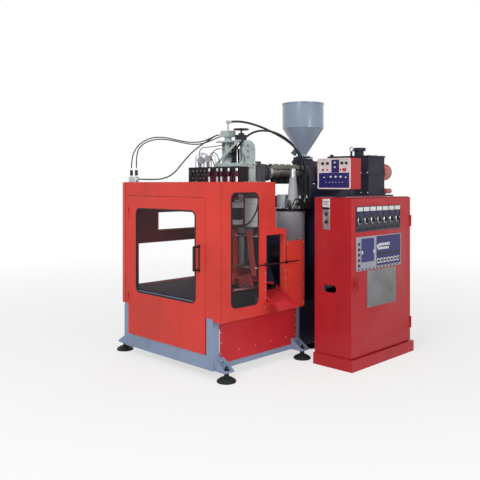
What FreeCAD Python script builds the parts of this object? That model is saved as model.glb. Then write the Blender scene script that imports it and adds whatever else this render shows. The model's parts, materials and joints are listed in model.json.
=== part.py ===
import FreeCAD, Part
import math
import os

import Sketcher

# Extrusion blow moulding machine: guarded moulding cabin, extruder with hopper on its own base,
# and a control cabinet. Lengths are millimetres, +Z is up and the door of the cabin faces -Y.
# Places are taken from the base frame's front right corner at floor level; every sub-part is
# then moved together so that the origin lies under the middle of the whole machine.

SIZES = {
    # base frame and feet
    "base_length": 1387,
    "base_depth": 1236,
    "base_clearance": 89,
    "channel_height": 131,
    "channel_width": 60,
    "right_post_width": 89,
    "left_post_width": 78,
    "post_depth": 80,
    "post_showing": 475,
    "foot_reach": 98,
    "foot_inset": 78,
    "foot_pad_radius": 87,
    "foot_pad_height": 40,
    "foot_stud_radius": 12,
    "lug_width": 116,
    "lug_thickness": 15,
    "gusset_height": 105,
    "bed_top": 702,
    "bed_thickness": 12,
    # sheet metal cabin
    "sheet": 3,
    "cabin_top": 1815,
    "cabin_floor": 541,
    "cabin_overhang": 114,
    "right_panel_depth": 728,
    "roof_rear_left": 630,
    "back_edge": 450,
    "skirt_bottom": 140,
    "skirt_front": 85,
    "skirt_rear_margin": 59,
    "window_corner": 55,
    "pane": 4,
    "pane_lap": 20,
    # safety door
    "door_bottom": 219,
    "door_head": 142,
    "door_right": 97,
    "door_gap": 3,
    "door_proud": 6,
    "door_depth": 30,
    "door_left_stile": 143,
    "door_right_stile": 139,
    "door_window_rise": 461,
    "door_window_head": 133,
    "hinge_radius": 7,
    "hinge_length": 60,
    "handle_bar_radius": 10,
    "handle_reach": 78,
    "handle_height": 255,
    "handle_centre": 1105,
    "handle_from_edge": 85,
    # openings in the left and right walls
    "left_opening_front": 170,
    "left_window_front": 438,
    "left_opening_margin": 156,
    "left_opening_bottom": 705,
    "left_beam_bottom": 1155,
    "left_beam_height": 125,
    "left_window_height": 205,
    "jamb_depth": 25,
    "tall_window_front": 125,
    "tall_window_margin": 79,
    "tall_window_bottom": 660,
    "tall_window_head": 105,
    # discharge side
    "guard_front": 560,
    "guard_rear": 890,
    "guard_shoulder": 1375,
    "guard_slope": 30,
    "outlet_front_margin": 38,
    "outlet_rear_margin": 29,
    "outlet_bottom": 640,
    "outlet_head": 75,
    "outlet_jamb": 56,
    "rail_height": 1020,
    "rail_front": 480,
    "rail_rear": 1060,
    "rail_radius": 7,
    "rear_guard_gap": 12,
    "rear_guard_top": 1222,
    "chute_reach": 156,
    "chute_inside": 110,
    "chute_wall": 45,
    "chute_crossing": 724,
    "chute_slope": 30,
    # clamp and carriage
    "machine_axis": 400,
    "die_margin": 236,
    "shuttle_stroke": 420,
    "rail_spread": 230,
    "slide_rail_radius": 20,
    "slide_rail_lift": 45,
    "slide_rail_overrun": 55,
    "slide_rail_margin": 21,
    "rail_foot": 30,
    "shuttle_gap": 5,
    "shuttle_spare": 25,
    "shuttle_end": 13,
    "shuttle_foot": 24,
    "shuttle_rod_radius": 10,
    "shuttle_lug": 50,
    "shuttle_arm": 75,
    "bearing_length": 70,
    "bearing_width": 80,
    "bearing_height": 65,
    "carriage_depth": 290,
    "carriage_plate": 20,
    "end_plate_distance": 245,
    "end_plate": 30,
    "end_plate_depth": 250,
    "end_plate_head": 12,
    "gusset_reach": 100,
    "gusset_rise": 200,
    "gusset_plate": 12,
    "tie_bar_radius": 18,
    "tie_bar_spread": 105,
    "tie_bar_inset": 40,
    "platen": 30,
    "platen_lift": 78,
    "platen_height": 410,
    "mould_opening": 110,
    "mould_half": 90,
    "mould_width": 160,
    "mould_lift": 25,
    "mould_height": 425,
    "bottle_radius": 55,
    "bottle_lift": 65,
    "bottle_shoulder_rise": 220,
    "neck_radius": 17,
    "bottle_neck_rise": 285,
    "clamp_rod_radius": 25,
    "clamp_rod_length": 160,
    "clamp_cylinder_radius": 90,
    "clamp_cylinder_length": 135,
    "running_gap": 0.4,
    "seat_gap": 0.3,
    # blow unit on the roof
    "blow_plate": 15,
    "blow_deck_rise": 175,
    "blow_left": 110,
    "blow_right": 280,
    "blow_front": 85,
    "blow_rear": 130,
    "blow_column_radius": 13,
    "blow_cylinder_radius": 36,
    "blow_cylinder_length": 268,
    "blow_cap": 110,
    "blow_cap_height": 62,
    "blow_pipe_radius": 9,
    "blow_pipe_rise": 77,
    "blow_elbow": 30,
    "blow_port_rise": 90,
    "blow_port_half": 16,
    "blow_port_reach": 70,
    "pin_radius": 15,
    "pin_clearance": 40,
    "pin_length": 230,
    "pin_holder_radius": 32,
    "pin_holder_length": 80,
    "pin_rod_radius": 20,
    "pin_rod_rise": 115,
    "side_plate_height": 226,
    "side_plate_round": 90,
    "guide_spread": 68,
    "guide_radius": 15,
    "brace_width": 40,
    "brace_front": 81,
    "side_hole_radius": 12,
    "wheel_offset_x": 150,
    "wheel_offset_y": 40,
    "wheel_radius": 80,
    "wheel_rim": 7,
    "wheel_rise": 130,
    "wheel_shaft": 9,
    "bridge_drop": 58,
    "manifold_left": 760,
    "manifold_right": 20,
    "manifold_depth": 120,
    "manifold_gap": 15,
    "manifold_height": 150,
    "terminal_inset": 48,
    "terminal_front": 20,
    "terminal_length": 120,
    "terminal_width": 50,
    "terminal_rise": 55,
    "terminal_radius": 12,
    # extruder
    "die_clearance": 75,
    "barrel_radius": 70,
    "screw_radius": 25,
    "flange_radius": 92,
    "flange": 30,
    "head_radius": 95,
    "head_height": 585,
    "head_waist_rise": 235,
    "head_waist_radius": 84,
    "barrel_rise": 515,
    "die_radius": 58,
    "die_core_radius": 20,
    "die_slot": 3,
    "band": 10,
    "band_length": 78,
    "band_count": 5,
    "feed_inset": 115,
    "feed_length": 220,
    "feed_half_width": 80,
    "feed_below": 90,
    "feed_above": 140,
    "hopper_inset": 85,
    "throat_radius": 40,
    "gate_block": 44,
    "gate_plate": 8,
    "hopper_radius": 238,
    "hopper_cone_height": 374,
    "hopper_rim_height": 286,
    "hopper_wall": 3,
    "thrust_radius": 115,
    "thrust_length": 230,
    "coupling_radius": 150,
    "coupling_length": 530,
    "reducer_length": 360,
    "reducer_half_width": 300,
    "reducer_above": 226,
    "reducer_split_drop": 5,
    "motor_radius": 103,
    "motor_side": 200,
    "motor_lift": 25,
    "motor_length": 215,
    "extruder_length": 1500,
    "extruder_base_width": 700,
    "platform_drop": 260,
    "step_height": 560,
    "base_wall": 6,
    # hydraulic column between cabin and cabinet
    "column_radius": 160,
    "column_side": 265,
    "column_gap": 3,
    "column_top": 1500,
    "column_wall": 8,
    "column_flange": 30,
    "column_flange_reach": 6,
    "column_spare": 20,
    # hoses and leads
    "supply_hose_radius": 11,
    "return_hose_radius": 10,
    "lead_radius": 6,
    "roof_hose_radius": 7,
    # control cabinet and pendant
    "cabinet_left": 289,
    "cabinet_right": 756,
    "cabinet_front": 1097,
    "cabinet_rear": 2245,
    "plinth_height": 112,
    "plinth_step": 26,
    "cabinet_top": 1661,
    "cabinet_wall": 2,
    "cabinet_door": 22,
    "t_handle_reach": 40,
    "t_handle_length": 136,
    "t_handle_inset": 70,
    "t_handle_height": 826,
    "oval_height": 766,
    "oval_radius": 36,
    "oval_inset": 143,
    "oval_pitch": 85,
    "switch_plate_inset": 101,
    "switch_plate_width": 91,
    "switch_plate_bottom": 1346,
    "switch_plate_top": 1650,
    "switch_plate": 6,
    "switch_inset": 150,
    "switch_low": 1420,
    "switch_pitch": 79,
    "duct_inset": 120,
    "duct_width": 160,
    "duct_height": 100,
    "mounting_plate_gap": 40,
    "cabinet_hinge_low": 200,
    "cabinet_hinge_high": 260,
    "bezel": 8,
    "dial_bezel_front": 75,
    "dial_bezel_length": 804,
    "dial_bezel_bottom": 1330,
    "dial_bezel_height": 247,
    "dial_band": 55,
    "dial_radius": 30,
    "dial_rise": 118,
    "screen_bezel_front": 79,
    "screen_bezel_length": 812,
    "screen_bezel_bottom": 950,
    "screen_bezel_height": 330,
    "blank_plate_front": 267,
    "blank_plate_length": 525,
    "blank_plate_bottom": 575,
    "blank_plate_height": 365,
    "pendant_left": 271,
    "pendant_right": 668,
    "pendant_front": 1200,
    "pendant_rear": 1375,
    "pendant_bottom": 1745,
    "pendant_top": 2050,
    "knob_radius": 13,
    "knob_length": 24,
    "button_radius": 10,
    "button_length": 10,
    "button_travel": 4,
    "stop_radius": 17,
}

document = FreeCAD.newDocument("blow_moulding_machine")
dims = document.addObject("Spreadsheet::Sheet", "Dims")


class Size:
    """A length known both as a number and as the sheet formula it follows."""

    def __init__(self, formula, value):
        self.formula = formula
        self.value = float(value)

    def __add__(self, other):
        return combined(self, "+", other)

    def __radd__(self, other):
        return combined(other, "+", self)

    def __sub__(self, other):
        return combined(self, "-", other)

    def __rsub__(self, other):
        return combined(other, "-", self)

    def __mul__(self, other):
        return combined(self, "*", other)

    def __rmul__(self, other):
        return combined(other, "*", self)

    def __truediv__(self, other):
        return combined(self, "/", other)

    def __neg__(self):
        return combined(0, "-", self)


def sized(number):
    """A plain number as a Size."""
    if isinstance(number, Size):
        return number
    return Size(f"({number})", number)


def combined(left, sign, right):
    """The sum, difference, product or quotient of two sizes, with its formula."""
    left = sized(left)
    right = sized(right)
    results = {
        "+": left.value + right.value,
        "-": left.value - right.value,
        "*": left.value * right.value,
        "/": left.value / right.value if right.value else 0.0,
    }
    return Size(f"({left.formula} {sign} {right.formula})", results[sign])


class Dimensions:
    """Every driving dimension, by its name in the sheet."""


d = Dimensions()
for row, (alias, number) in enumerate(SIZES.items(), start=1):
    dims.set(f"A{row}", alias)
    dims.set(f"B{row}", str(number))
    dims.setAlias(f"B{row}", alias)
    setattr(d, alias, Size(f"Dims.{alias}", number))
document.recompute()

# Quantities that several sub-parts share.
SHEET = d.sheet
LEFT = -d.base_length
AXIS_X = -d.machine_axis
BED = d.bed_top
PANEL_X = d.cabin_overhang
CHANNEL_TOP = d.base_clearance + d.channel_height
HINGE_X = LEFT + d.left_post_width
HINGE_Y = -(d.door_proud + d.hinge_radius + 1)

DOOR_TOP = d.cabin_top - d.door_head
DOOR_WINDOW = (
    (HINGE_X + d.door_left_stile, d.door_bottom + d.door_window_rise),
    (-(d.door_right + d.door_right_stile), DOOR_TOP - d.door_window_head),
)
BEAM_TOP = d.left_beam_bottom + d.left_beam_height
SKIRT_REAR = d.base_depth - d.skirt_rear_margin
TALL_WINDOW = (
    (d.tall_window_front, d.tall_window_bottom),
    (d.guard_front - d.tall_window_margin, d.cabin_top - d.tall_window_head),
)
OUTLET = (
    (d.guard_front + d.outlet_front_margin, d.outlet_bottom),
    (d.guard_rear - d.outlet_rear_margin, d.guard_shoulder - d.outlet_head),
)

DIE_Y = d.base_depth - d.die_margin
BLOW_Y = DIE_Y - d.shuttle_stroke
CARRIAGE_FRONT = DIE_Y - d.carriage_depth / 2
CARRIAGE_REAR = DIE_Y + d.carriage_depth / 2
LUG_REAR = CARRIAGE_FRONT - d.shuttle_arm
RAIL_FRONT = CARRIAGE_FRONT - d.shuttle_stroke - d.slide_rail_overrun
RAIL_REAR = d.base_depth - d.slide_rail_margin
CARRIAGE_LOW = BED + d.bearing_height + 15
CARRIAGE_HIGH = CARRIAGE_LOW + d.carriage_plate
PLATEN_LOW = CARRIAGE_HIGH + d.platen_lift
PLATEN_TOP = PLATEN_LOW + d.platen_height
CLAMP_Z = PLATEN_LOW + d.platen_height / 2
MOULD_LOW = PLATEN_LOW + d.mould_lift
MOULD_TOP = MOULD_LOW + d.mould_height

PIN_TIP = MOULD_TOP + d.pin_clearance
DECK = d.cabin_top + d.blow_deck_rise
DECK_TOP = DECK + d.blow_plate
CYLINDER_TOP = DECK_TOP + d.blow_cylinder_length
CAP_TOP = CYLINDER_TOP + d.blow_cap_height
PIPE_TOP = CAP_TOP + d.blow_pipe_rise
PIN_ROD_TOP = DECK_TOP + d.pin_rod_rise
BRIDGE = CYLINDER_TOP - d.bridge_drop
WHEEL_Z = BRIDGE + d.wheel_rise
MANIFOLD_REAR = BLOW_Y - d.blow_front - d.manifold_gap
MANIFOLD_FRONT = MANIFOLD_REAR - d.manifold_depth

COLUMN_X = -d.column_side
COLUMN_Y = d.base_depth + d.column_gap + d.column_radius
VALVE_LOW = d.column_top + d.column_flange
EXTRUDER_FRONT = COLUMN_Y + d.column_radius + d.column_flange_reach + d.column_spare

DIE_LOW = MOULD_TOP + d.die_clearance
BARREL_Z = DIE_LOW + d.barrel_rise
HEAD_WAIST = DIE_LOW + d.head_waist_rise
HEAD_TOP = DIE_LOW + d.head_height
PLATFORM = BARREL_Z - d.platform_drop
FEED_FRONT = EXTRUDER_FRONT + d.feed_inset
FEED_REAR = FEED_FRONT + d.feed_length
FEED_LOW = BARREL_Z - d.feed_below
FEED_TOP = BARREL_Z + d.feed_above
HOPPER_Y = FEED_FRONT + d.hopper_inset
HOPPER_CONE_TOP = FEED_TOP + d.hopper_cone_height
HOPPER_TOP = HOPPER_CONE_TOP + d.hopper_rim_height
THRUST_REAR = FEED_REAR + d.thrust_length
REDUCER_FRONT = THRUST_REAR + d.coupling_length
REDUCER_REAR = REDUCER_FRONT + d.reducer_length
REDUCER_TOP = BARREL_Z + d.reducer_above
MOTOR_END = REDUCER_REAR + d.motor_length

CABINET_DOOR_X = d.cabinet_right - d.plinth_step
FEET_LEFT = LEFT - d.foot_reach - d.foot_pad_radius
HANDLE_TIP = -(d.door_proud + d.handle_reach)
SHIFT_X = -(FEET_LEFT + CABINET_DOOR_X + d.t_handle_reach) / 2
SHIFT_Y = -(HANDLE_TIP + MOTOR_END) / 2

TURNS = {
    "X": FreeCAD.Rotation(FreeCAD.Vector(0, 1, 0), 90),
    "Y": FreeCAD.Rotation(FreeCAD.Vector(1, 0, 0), -90),
    "Z": FreeCAD.Rotation(),
}
PLANES = {"XY": "XY_Plane", "XZ": "XZ_Plane", "YZ": "YZ_Plane"}
places = {}
subparts = []


def bind(item, prop, size):
    """Ties one property to the sheet."""
    item.setExpression(prop, sized(size).formula)


def place(item, point, axis="Z"):
    """Puts an item at a point, with its own Z turned along an axis."""
    item.Placement = FreeCAD.Placement(FreeCAD.Vector(), TURNS[axis])
    for letter, size in zip("xyz", point):
        bind(item, f"Placement.Base.{letter}", size)
    places[item.Name] = point
    return item


def block(low, high):
    """A box between its lowest and highest corners."""
    item = document.addObject("Part::Box", "Block")
    for prop, start, end in zip(("Length", "Width", "Height"), low, high):
        bind(item, prop, sized(end) - start)
    return place(item, low)


def rod(start, axis, length, radius):
    """A round bar from a point along an axis."""
    item = document.addObject("Part::Cylinder", "Rod")
    bind(item, "Radius", radius)
    bind(item, "Height", length)
    return place(item, start, axis)


def cone(start, axis, length, first_radius, second_radius):
    """A tapered round bar from a point along an axis."""
    item = document.addObject("Part::Cone", "Taper")
    bind(item, "Radius1", first_radius)
    bind(item, "Radius2", second_radius)
    bind(item, "Height", length)
    return place(item, start, axis)


def fuse(*items):
    """One solid out of pieces that touch."""
    item = document.addObject("Part::MultiFuse", "Joined")
    item.Shapes = list(items)
    item.Refine = True
    return item


def cut(base, *tools):
    """The base with every tool taken away."""
    item = document.addObject("Part::Cut", "Cut")
    item.Base = base
    item.Tool = tools[0] if len(tools) == 1 else fuse(*tools)
    item.Refine = True
    return item


def group(*items):
    """Separate solids kept as one sub-part."""
    item = document.addObject("Part::Compound", "Group")
    item.Links = list(items)
    return item


def tube(start, axis, length, outer, inner):
    """A round pipe."""
    return cut(rod(start, axis, length, outer), rod(start, axis, length, inner))


def fix_point(sketch, index, corner, point):
    """Holds one point of a sketch at a distance from the sketch's origin."""
    for kind, size in zip(("DistanceX", "DistanceY"), point):
        size = sized(size)
        number = sketch.addConstraint(Sketcher.Constraint(kind, -1, 1, index, corner, size.value))
        sketch.setExpression(f"Constraints[{number}]", size.formula)


def vector(point):
    """A sketch point as a vector."""
    return FreeCAD.Vector(sized(point[0]).value, sized(point[1]).value, 0)


def draw_polygon(sketch, points):
    """A closed outline of straight lines."""
    first = sketch.GeometryCount
    for start, end in zip(points, points[1:] + points[:1]):
        sketch.addGeometry(Part.LineSegment(vector(start), vector(end)))
    last = sketch.GeometryCount - 1
    for index in range(first, last + 1):
        following = first if index == last else index + 1
        sketch.addConstraint(Sketcher.Constraint("Coincident", index, 2, following, 1))
    for index, point in zip(range(first, last + 1), points):
        fix_point(sketch, index, 1, point)


def draw_circle(sketch, centre, radius):
    """A circle."""
    radius = sized(radius)
    index = sketch.addGeometry(Part.Circle(vector(centre), FreeCAD.Vector(0, 0, 1), radius.value))
    number = sketch.addConstraint(Sketcher.Constraint("Radius", index, radius.value))
    sketch.setExpression(f"Constraints[{number}]", radius.formula)
    fix_point(sketch, index, 3, centre)


def draw_rounded(sketch, low, high, radius):
    """A rectangle with rounded corners: four arcs whose centres are fixed, joined by lines."""
    radius = sized(radius)
    left, bottom = sized(low[0]), sized(low[1])
    right, top = sized(high[0]), sized(high[1])
    centres = [
        (left + radius, bottom + radius),
        (right - radius, bottom + radius),
        (right - radius, top - radius),
        (left + radius, top - radius),
    ]
    arcs = []
    for quarter, centre in enumerate(centres):
        circle = Part.Circle(vector(centre), FreeCAD.Vector(0, 0, 1), radius.value)
        begin = math.pi + quarter * math.pi / 2
        arcs.append(sketch.addGeometry(Part.ArcOfCircle(circle, begin, begin + math.pi / 2)))
    for number, arc in enumerate(arcs):
        following = arcs[(number + 1) % 4]
        start = sketch.getPoint(arc, 2)
        end = sketch.getPoint(following, 1)
        line = sketch.addGeometry(Part.LineSegment(start, end))
        sketch.addConstraint(Sketcher.Constraint("Tangent", arc, 2, line, 1))
        sketch.addConstraint(Sketcher.Constraint("Tangent", line, 2, following, 1))
    for arc, centre in zip(arcs, centres):
        fix_point(sketch, arc, 3, centre)
    number = sketch.addConstraint(Sketcher.Constraint("Radius", arcs[0], radius.value))
    sketch.setExpression(f"Constraints[{number}]", radius.formula)


def drawing(body, plane, outlines, level):
    """A sketch of closed outlines on a plane of the body, at a level along that plane's axis."""
    role = PLANES[plane]
    support = next(item for item in body.Origin.OriginFeatures if item.Role == role)
    sketch = body.newObject("Sketcher::SketchObject", "Outline")
    sketch.AttachmentSupport = [(support, "")]
    sketch.MapMode = "FlatFace"
    bind(sketch, "AttachmentOffset.Base.z", level)
    for kind, *values in outlines:
        {"polygon": draw_polygon, "circle": draw_circle, "rounded": draw_rounded}[kind](sketch, *values)
    return sketch


def plate(plane, outlines, low, high):
    """A flat piece: closed outlines on a plane, as thick as from low to high along its normal."""
    body = document.addObject("PartDesign::Body", "Plate")
    level = -sized(high) if plane == "XZ" else low
    sketch = drawing(body, plane, outlines, level)
    pad = body.newObject("PartDesign::Pad", "Pad")
    pad.Profile = sketch
    bind(pad, "Length", sized(high) - low)
    body.Tip = pad
    return body


def rectangle(low, high):
    """The outline of a rectangle."""
    return ("polygon", [low, (high[0], low[1]), high, (low[0], high[1])])


def turned(outline, centre):
    """A turned piece: an outline of radius and height, turned about the vertical."""
    body = document.addObject("PartDesign::Body", "Turned")
    sketch = drawing(body, "XZ", [("polygon", outline)], 0)
    revolution = body.newObject("PartDesign::Revolution", "Turning")
    revolution.Profile = sketch
    revolution.ReferenceAxis = (sketch, ["V_Axis"])
    revolution.Angle = 360
    body.Tip = revolution
    return place(body, centre)


def frame_of(plane, low, high, wall, start, end):
    """A rectangular frame of thin walls that stands round an opening."""
    outer_low = (low[0] - wall, low[1] - wall)
    outer_high = (high[0] + wall, high[1] + wall)
    return plate(plane, [rectangle(outer_low, outer_high), rectangle(low, high)], start, end)


def subpart(label, item):
    """Names a finished piece and moves it so that the machine's middle is the origin."""
    x, y, z = places.get(item.Name, (0, 0, 0))
    bind(item, "Placement.Base.x", SHIFT_X + x)
    bind(item, "Placement.Base.y", SHIFT_Y + y)
    bind(item, "Placement.Base.z", z)
    item.Label = label
    subparts.append(item)


def route_wire(points):
    """Straight runs joined by tangent arcs, and the arcs' radii."""
    radii = []
    edges = []
    here = points[0]
    for before, corner, after in zip(points, points[1:], points[2:]):
        incoming = corner - before
        outgoing = after - corner
        reach = 0.45 * min(incoming.Length, outgoing.Length)
        turn = incoming.getAngle(outgoing)
        radii.append(reach / math.tan(turn / 2))
        toward = FreeCAD.Vector(incoming).normalize()
        away = FreeCAD.Vector(outgoing).normalize()
        start = corner - toward * reach
        end = corner + away * reach
        inward = (away - toward).normalize()
        to_centre = radii[-1] / math.cos(turn / 2)
        middle = corner + inward * (to_centre - radii[-1])
        edges.append(Part.LineSegment(here, start).toShape())
        edges.append(Part.Arc(start, middle, end).toShape())
        here = end
    edges.append(Part.LineSegment(here, points[-1]).toShape())
    return Part.Wire(edges), radii


def stretched(points, start, end):
    """The route with its ends moved to two places, the moves shared along the points between them."""
    vectors = [FreeCAD.Vector(*point) for point in points]
    move_start = FreeCAD.Vector(*(sized(size).value for size in start)) - vectors[0]
    move_end = FreeCAD.Vector(*(sized(size).value for size in end)) - vectors[-1]
    steps = len(points) - 3
    shares = [min(max(index - 1, 0), steps) / steps for index in range(len(points))]
    return [vector + move_start * (1 - share) + move_end * share for vector, share in zip(vectors, shares)]


def along_route(label, points, start, end, radius):
    """A round bar or hose along a route, with its ends at two places measured from the base's corner."""
    vectors = stretched(points, start, end)
    radius = sized(radius)
    wire, radii = route_wire(vectors)
    direction = vectors[1] - vectors[0]
    section = Part.Wire(Part.makeCircle(radius.value, vectors[0], direction))
    solid = wire.makePipeShell([section], True, False)
    expected = math.pi * radius.value**2 * wire.Length
    print(f"{label}: length {wire.Length:.0f}, least radius {min(radii):.0f},"
          f" volume ratio {solid.Volume / expected:.4f}")
    item = document.addObject("Part::Feature", label)
    item.Shape = solid
    item.Placement = FreeCAD.Placement(FreeCAD.Vector(), FreeCAD.Rotation())
    return item


# ---------------------------------------------------------------- base


def foot_places():
    """The plan position of every foot under the cabin's base."""
    rear = d.base_depth - d.foot_inset
    return [(x, y) for x in (d.foot_reach, LEFT - d.foot_reach) for y in (d.foot_inset, rear)]


def extruder_foot_places():
    """The plan position of every foot under the extruder's base."""
    rear = EXTRUDER_FRONT + d.extruder_length - d.foot_inset - d.foot_reach
    front = EXTRUDER_FRONT
    inner = -(d.foot_reach + d.foot_pad_radius / 4)
    outer = d.foot_reach - d.extruder_base_width
    return [(x, y) for x in (inner, outer) for y in (front, rear)]


def base_frame():
    """Channels, corner posts, bed rails and the foot lugs with their gussets."""
    low = d.base_clearance
    width = d.channel_width
    depth = d.base_depth
    post_top = BED - d.bed_thickness
    pieces = [
        block((LEFT, 0, low), (0, width, CHANNEL_TOP)),
        block((LEFT, depth - width, low), (0, depth, CHANNEL_TOP)),
        block((LEFT, 0, low), (LEFT + width, depth, CHANNEL_TOP)),
        block((-width, 0, low), (0, depth, CHANNEL_TOP)),
    ]
    for start in (0, depth - d.post_depth):
        end = start + d.post_depth
        pieces.append(block((-d.right_post_width, start, low), (0, end, post_top)))
        pieces.append(block((LEFT, start, low), (LEFT + d.left_post_width, end, post_top)))
        rail_start = start + d.door_depth if start == 0 else start
        rail_end = end if start == 0 else end - d.channel_width / 3
        pieces.append(block((LEFT, rail_start, post_top - width), (0, rail_end, post_top)))
    for start in (LEFT, -width):
        pieces.append(block((start, 0, post_top - width), (start + width, depth, post_top)))
    holes = []
    for x, y in foot_places():
        outward = x.value > 0
        edge = sized(0) if outward else LEFT
        reach = d.foot_reach + d.foot_pad_radius / 2
        outer = edge + reach if outward else edge - reach
        lug_low, lug_high = (edge, outer) if outward else (outer, edge)
        start = y - d.lug_width / 2
        end = y + d.lug_width / 2
        pieces.append(block((lug_low, start, low), (lug_high, end, low + d.lug_thickness)))
        corners = [(edge, low), (outer, low), (outer, low + d.lug_thickness), (edge, low + d.gusset_height)]
        if not outward:
            corners.reverse()
        for side in (start, end - d.gusset_plate):
            pieces.append(plate("XZ", [("polygon", corners)], side, side + d.gusset_plate))
        holes.append(rod((x, y, low), "Z", d.lug_thickness, d.foot_stud_radius + 1))
    subpart("base_frame", cut(fuse(*pieces), *holes))


def levelling_feet():
    """Domed pads with a threaded stud and two nuts, under both bases."""
    pad = d.foot_pad_radius
    rise = d.foot_pad_height
    stud = d.foot_stud_radius
    low = d.base_clearance
    nut = stud * 2
    lug_top = low + d.lug_thickness + d.seat_gap
    feet = []
    for x, y in foot_places():
        outline = [
            (0, 0), (pad, 0), (pad, rise * 0.45), (pad * 0.62, rise), (nut, rise), (nut, low - stud * 2),
            (nut, low - d.seat_gap), (stud, low - d.seat_gap), (stud, lug_top), (nut, lug_top),
            (nut, lug_top + stud), (stud, lug_top + stud), (stud, lug_top + stud * 3), (0, lug_top + stud * 3),
        ]
        feet.append(turned(outline, (x, y, 0)))
    for x, y in extruder_foot_places():
        outline = [
            (0, 0), (pad, 0), (pad, rise * 0.45), (pad * 0.62, rise), (nut, rise),
            (nut, low), (0, low),
        ]
        feet.append(turned(outline, (x, y, 0)))
    subpart("levelling_feet", group(*feet))


def bed_plate():
    """The floor of the moulding cabin."""
    outline = rectangle((LEFT, d.door_depth), (0, d.base_depth))
    subpart("bed_plate", plate("XY", [outline], BED - d.bed_thickness, BED))


# ---------------------------------------------------------------- cabin


def front_panel():
    """The sheet round the door opening, with the frame's halves of the door hinges."""
    left = LEFT - SHEET
    top = d.cabin_top - SHEET
    floor = d.cabin_floor
    leg_top = d.base_clearance + d.post_showing
    outline = [
        (left, floor), (HINGE_X, floor), (HINGE_X, DOOR_TOP), (-d.door_right, DOOR_TOP),
        (-d.door_right, leg_top), (0, leg_top), (0, floor), (PANEL_X, floor), (PANEL_X, top), (left, top),
    ]
    pieces = [plate("XZ", [("polygon", outline)], -SHEET, 0)]
    for height in hinge_heights():
        start = height + d.seat_gap
        end = height + d.hinge_length
        pieces.append(rod((HINGE_X, HINGE_Y, start), "Z", end - start, d.hinge_radius))
        pieces.append(block((HINGE_X - d.hinge_radius * 2, HINGE_Y, start), (HINGE_X, -SHEET, end)))
    subpart("front_panel", fuse(*pieces))


def hinge_heights():
    """Where the two halves of each door hinge meet."""
    return (d.cabin_floor + d.hinge_length, DOOR_TOP - d.hinge_length * 3)


def left_panel():
    """The left wall, with two openings and the beam between them, folded round the cabin's back."""
    outer = LEFT - SHEET
    opening_rear = d.base_depth - d.left_opening_margin
    low_opening = ((d.left_opening_front, d.left_opening_bottom), (opening_rear, d.left_beam_bottom))
    high_opening = ((d.left_window_front, BEAM_TOP), (opening_rear, BEAM_TOP + d.left_window_height))
    outline = rectangle((0, d.cabin_floor), (d.base_depth, d.cabin_top - SHEET))
    pieces = [plate("YZ", [outline, rectangle(*low_opening), rectangle(*high_opening)], outer, LEFT)]
    for low, high in (low_opening, high_opening):
        pieces.append(frame_of("YZ", low, high, SHEET, LEFT, LEFT + d.jamb_depth))
    rear = d.base_depth
    pieces.append(block((outer, rear, d.cabin_floor), (-d.back_edge, rear + SHEET, d.cabin_top - SHEET)))
    subpart("left_panel", fuse(*pieces))


def right_panel():
    """The right wall in front of the discharge guard, with the tall window."""
    inner = PANEL_X - SHEET
    top = d.cabin_top - SHEET
    floor = d.cabin_floor
    outline = [
        (0, floor), (d.guard_front, floor), (d.guard_front, d.guard_shoulder),
        (d.right_panel_depth, d.guard_shoulder), (d.right_panel_depth, top), (0, top),
    ]
    window = ("rounded", *TALL_WINDOW, d.window_corner)
    return_flange = block((0, 0, floor), (inner, d.guard_front, floor + SHEET))
    rear = d.right_panel_depth
    rear_flange = block((inner - d.jamb_depth, rear - SHEET, d.guard_shoulder), (inner, rear, top))
    wall = plate("YZ", [("polygon", outline), window], inner, PANEL_X)
    subpart("right_panel", fuse(wall, return_flange, rear_flange))


def side_pane():
    """The clear pane behind the tall window."""
    inner = PANEL_X - SHEET
    lap = d.pane_lap
    low = (TALL_WINDOW[0][0] - lap, TALL_WINDOW[0][1] - lap)
    high = (TALL_WINDOW[1][0] + lap, TALL_WINDOW[1][1] + lap)
    subpart("side_pane", plate("YZ", [rectangle(low, high)], inner - d.pane, inner))


def roof_panel():
    """The roof, with the pin's clearance hole and the two hose terminals at its left corner."""
    left = LEFT - SHEET
    step_x = left + d.roof_rear_left
    low = d.cabin_top - SHEET
    outline = [
        (left, -SHEET), (PANEL_X, -SHEET), (PANEL_X, d.right_panel_depth), (step_x, d.right_panel_depth),
        (step_x, d.base_depth), (left, d.base_depth),
    ]
    hole = ("circle", (AXIS_X, BLOW_Y), d.pin_holder_radius + 10)
    pieces = [plate("XY", [("polygon", outline), hole], low, d.cabin_top)]
    start = (LEFT + d.terminal_inset, d.terminal_front, d.cabin_top)
    rise = d.terminal_rise
    pieces.append(block(start, (start[0] + d.terminal_length, start[1] + d.terminal_width, start[2] + rise)))
    for x, y, top in terminal_tops():
        pieces.append(rod((x, y, top - rise), "Z", rise, d.terminal_radius))
    subpart("roof_panel", fuse(*pieces))


def terminal_tops():
    """The tops of the two hose terminals on the roof's left corner."""
    left = LEFT + d.terminal_inset
    edge = d.terminal_radius + 4
    y = d.terminal_front + d.terminal_width / 2
    top = d.cabin_top + d.terminal_rise * 2
    return ((left + edge, y, top), (left + d.terminal_length - edge, y, top))


def lower_skirts():
    """The covers below the cabin on the right and left, notched round the foot brackets."""
    front = d.skirt_front
    rear = SKIRT_REAR
    low = d.skirt_bottom
    top = d.cabin_floor
    notch = d.base_clearance + d.gusset_height + 6
    near = d.foot_inset + d.lug_width / 2 + 4
    far = d.base_depth - d.foot_inset - d.lug_width / 2 - 4
    outline = [(near, low), (far, low), (far, notch), (rear, notch), (rear, top), (front, top),
               (front, notch), (near, notch)]
    right = plate("YZ", [("polygon", outline)], 0, SHEET)
    left = plate("YZ", [("polygon", outline)], LEFT - SHEET, LEFT)
    subpart("lower_skirts", group(right, left))


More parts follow.
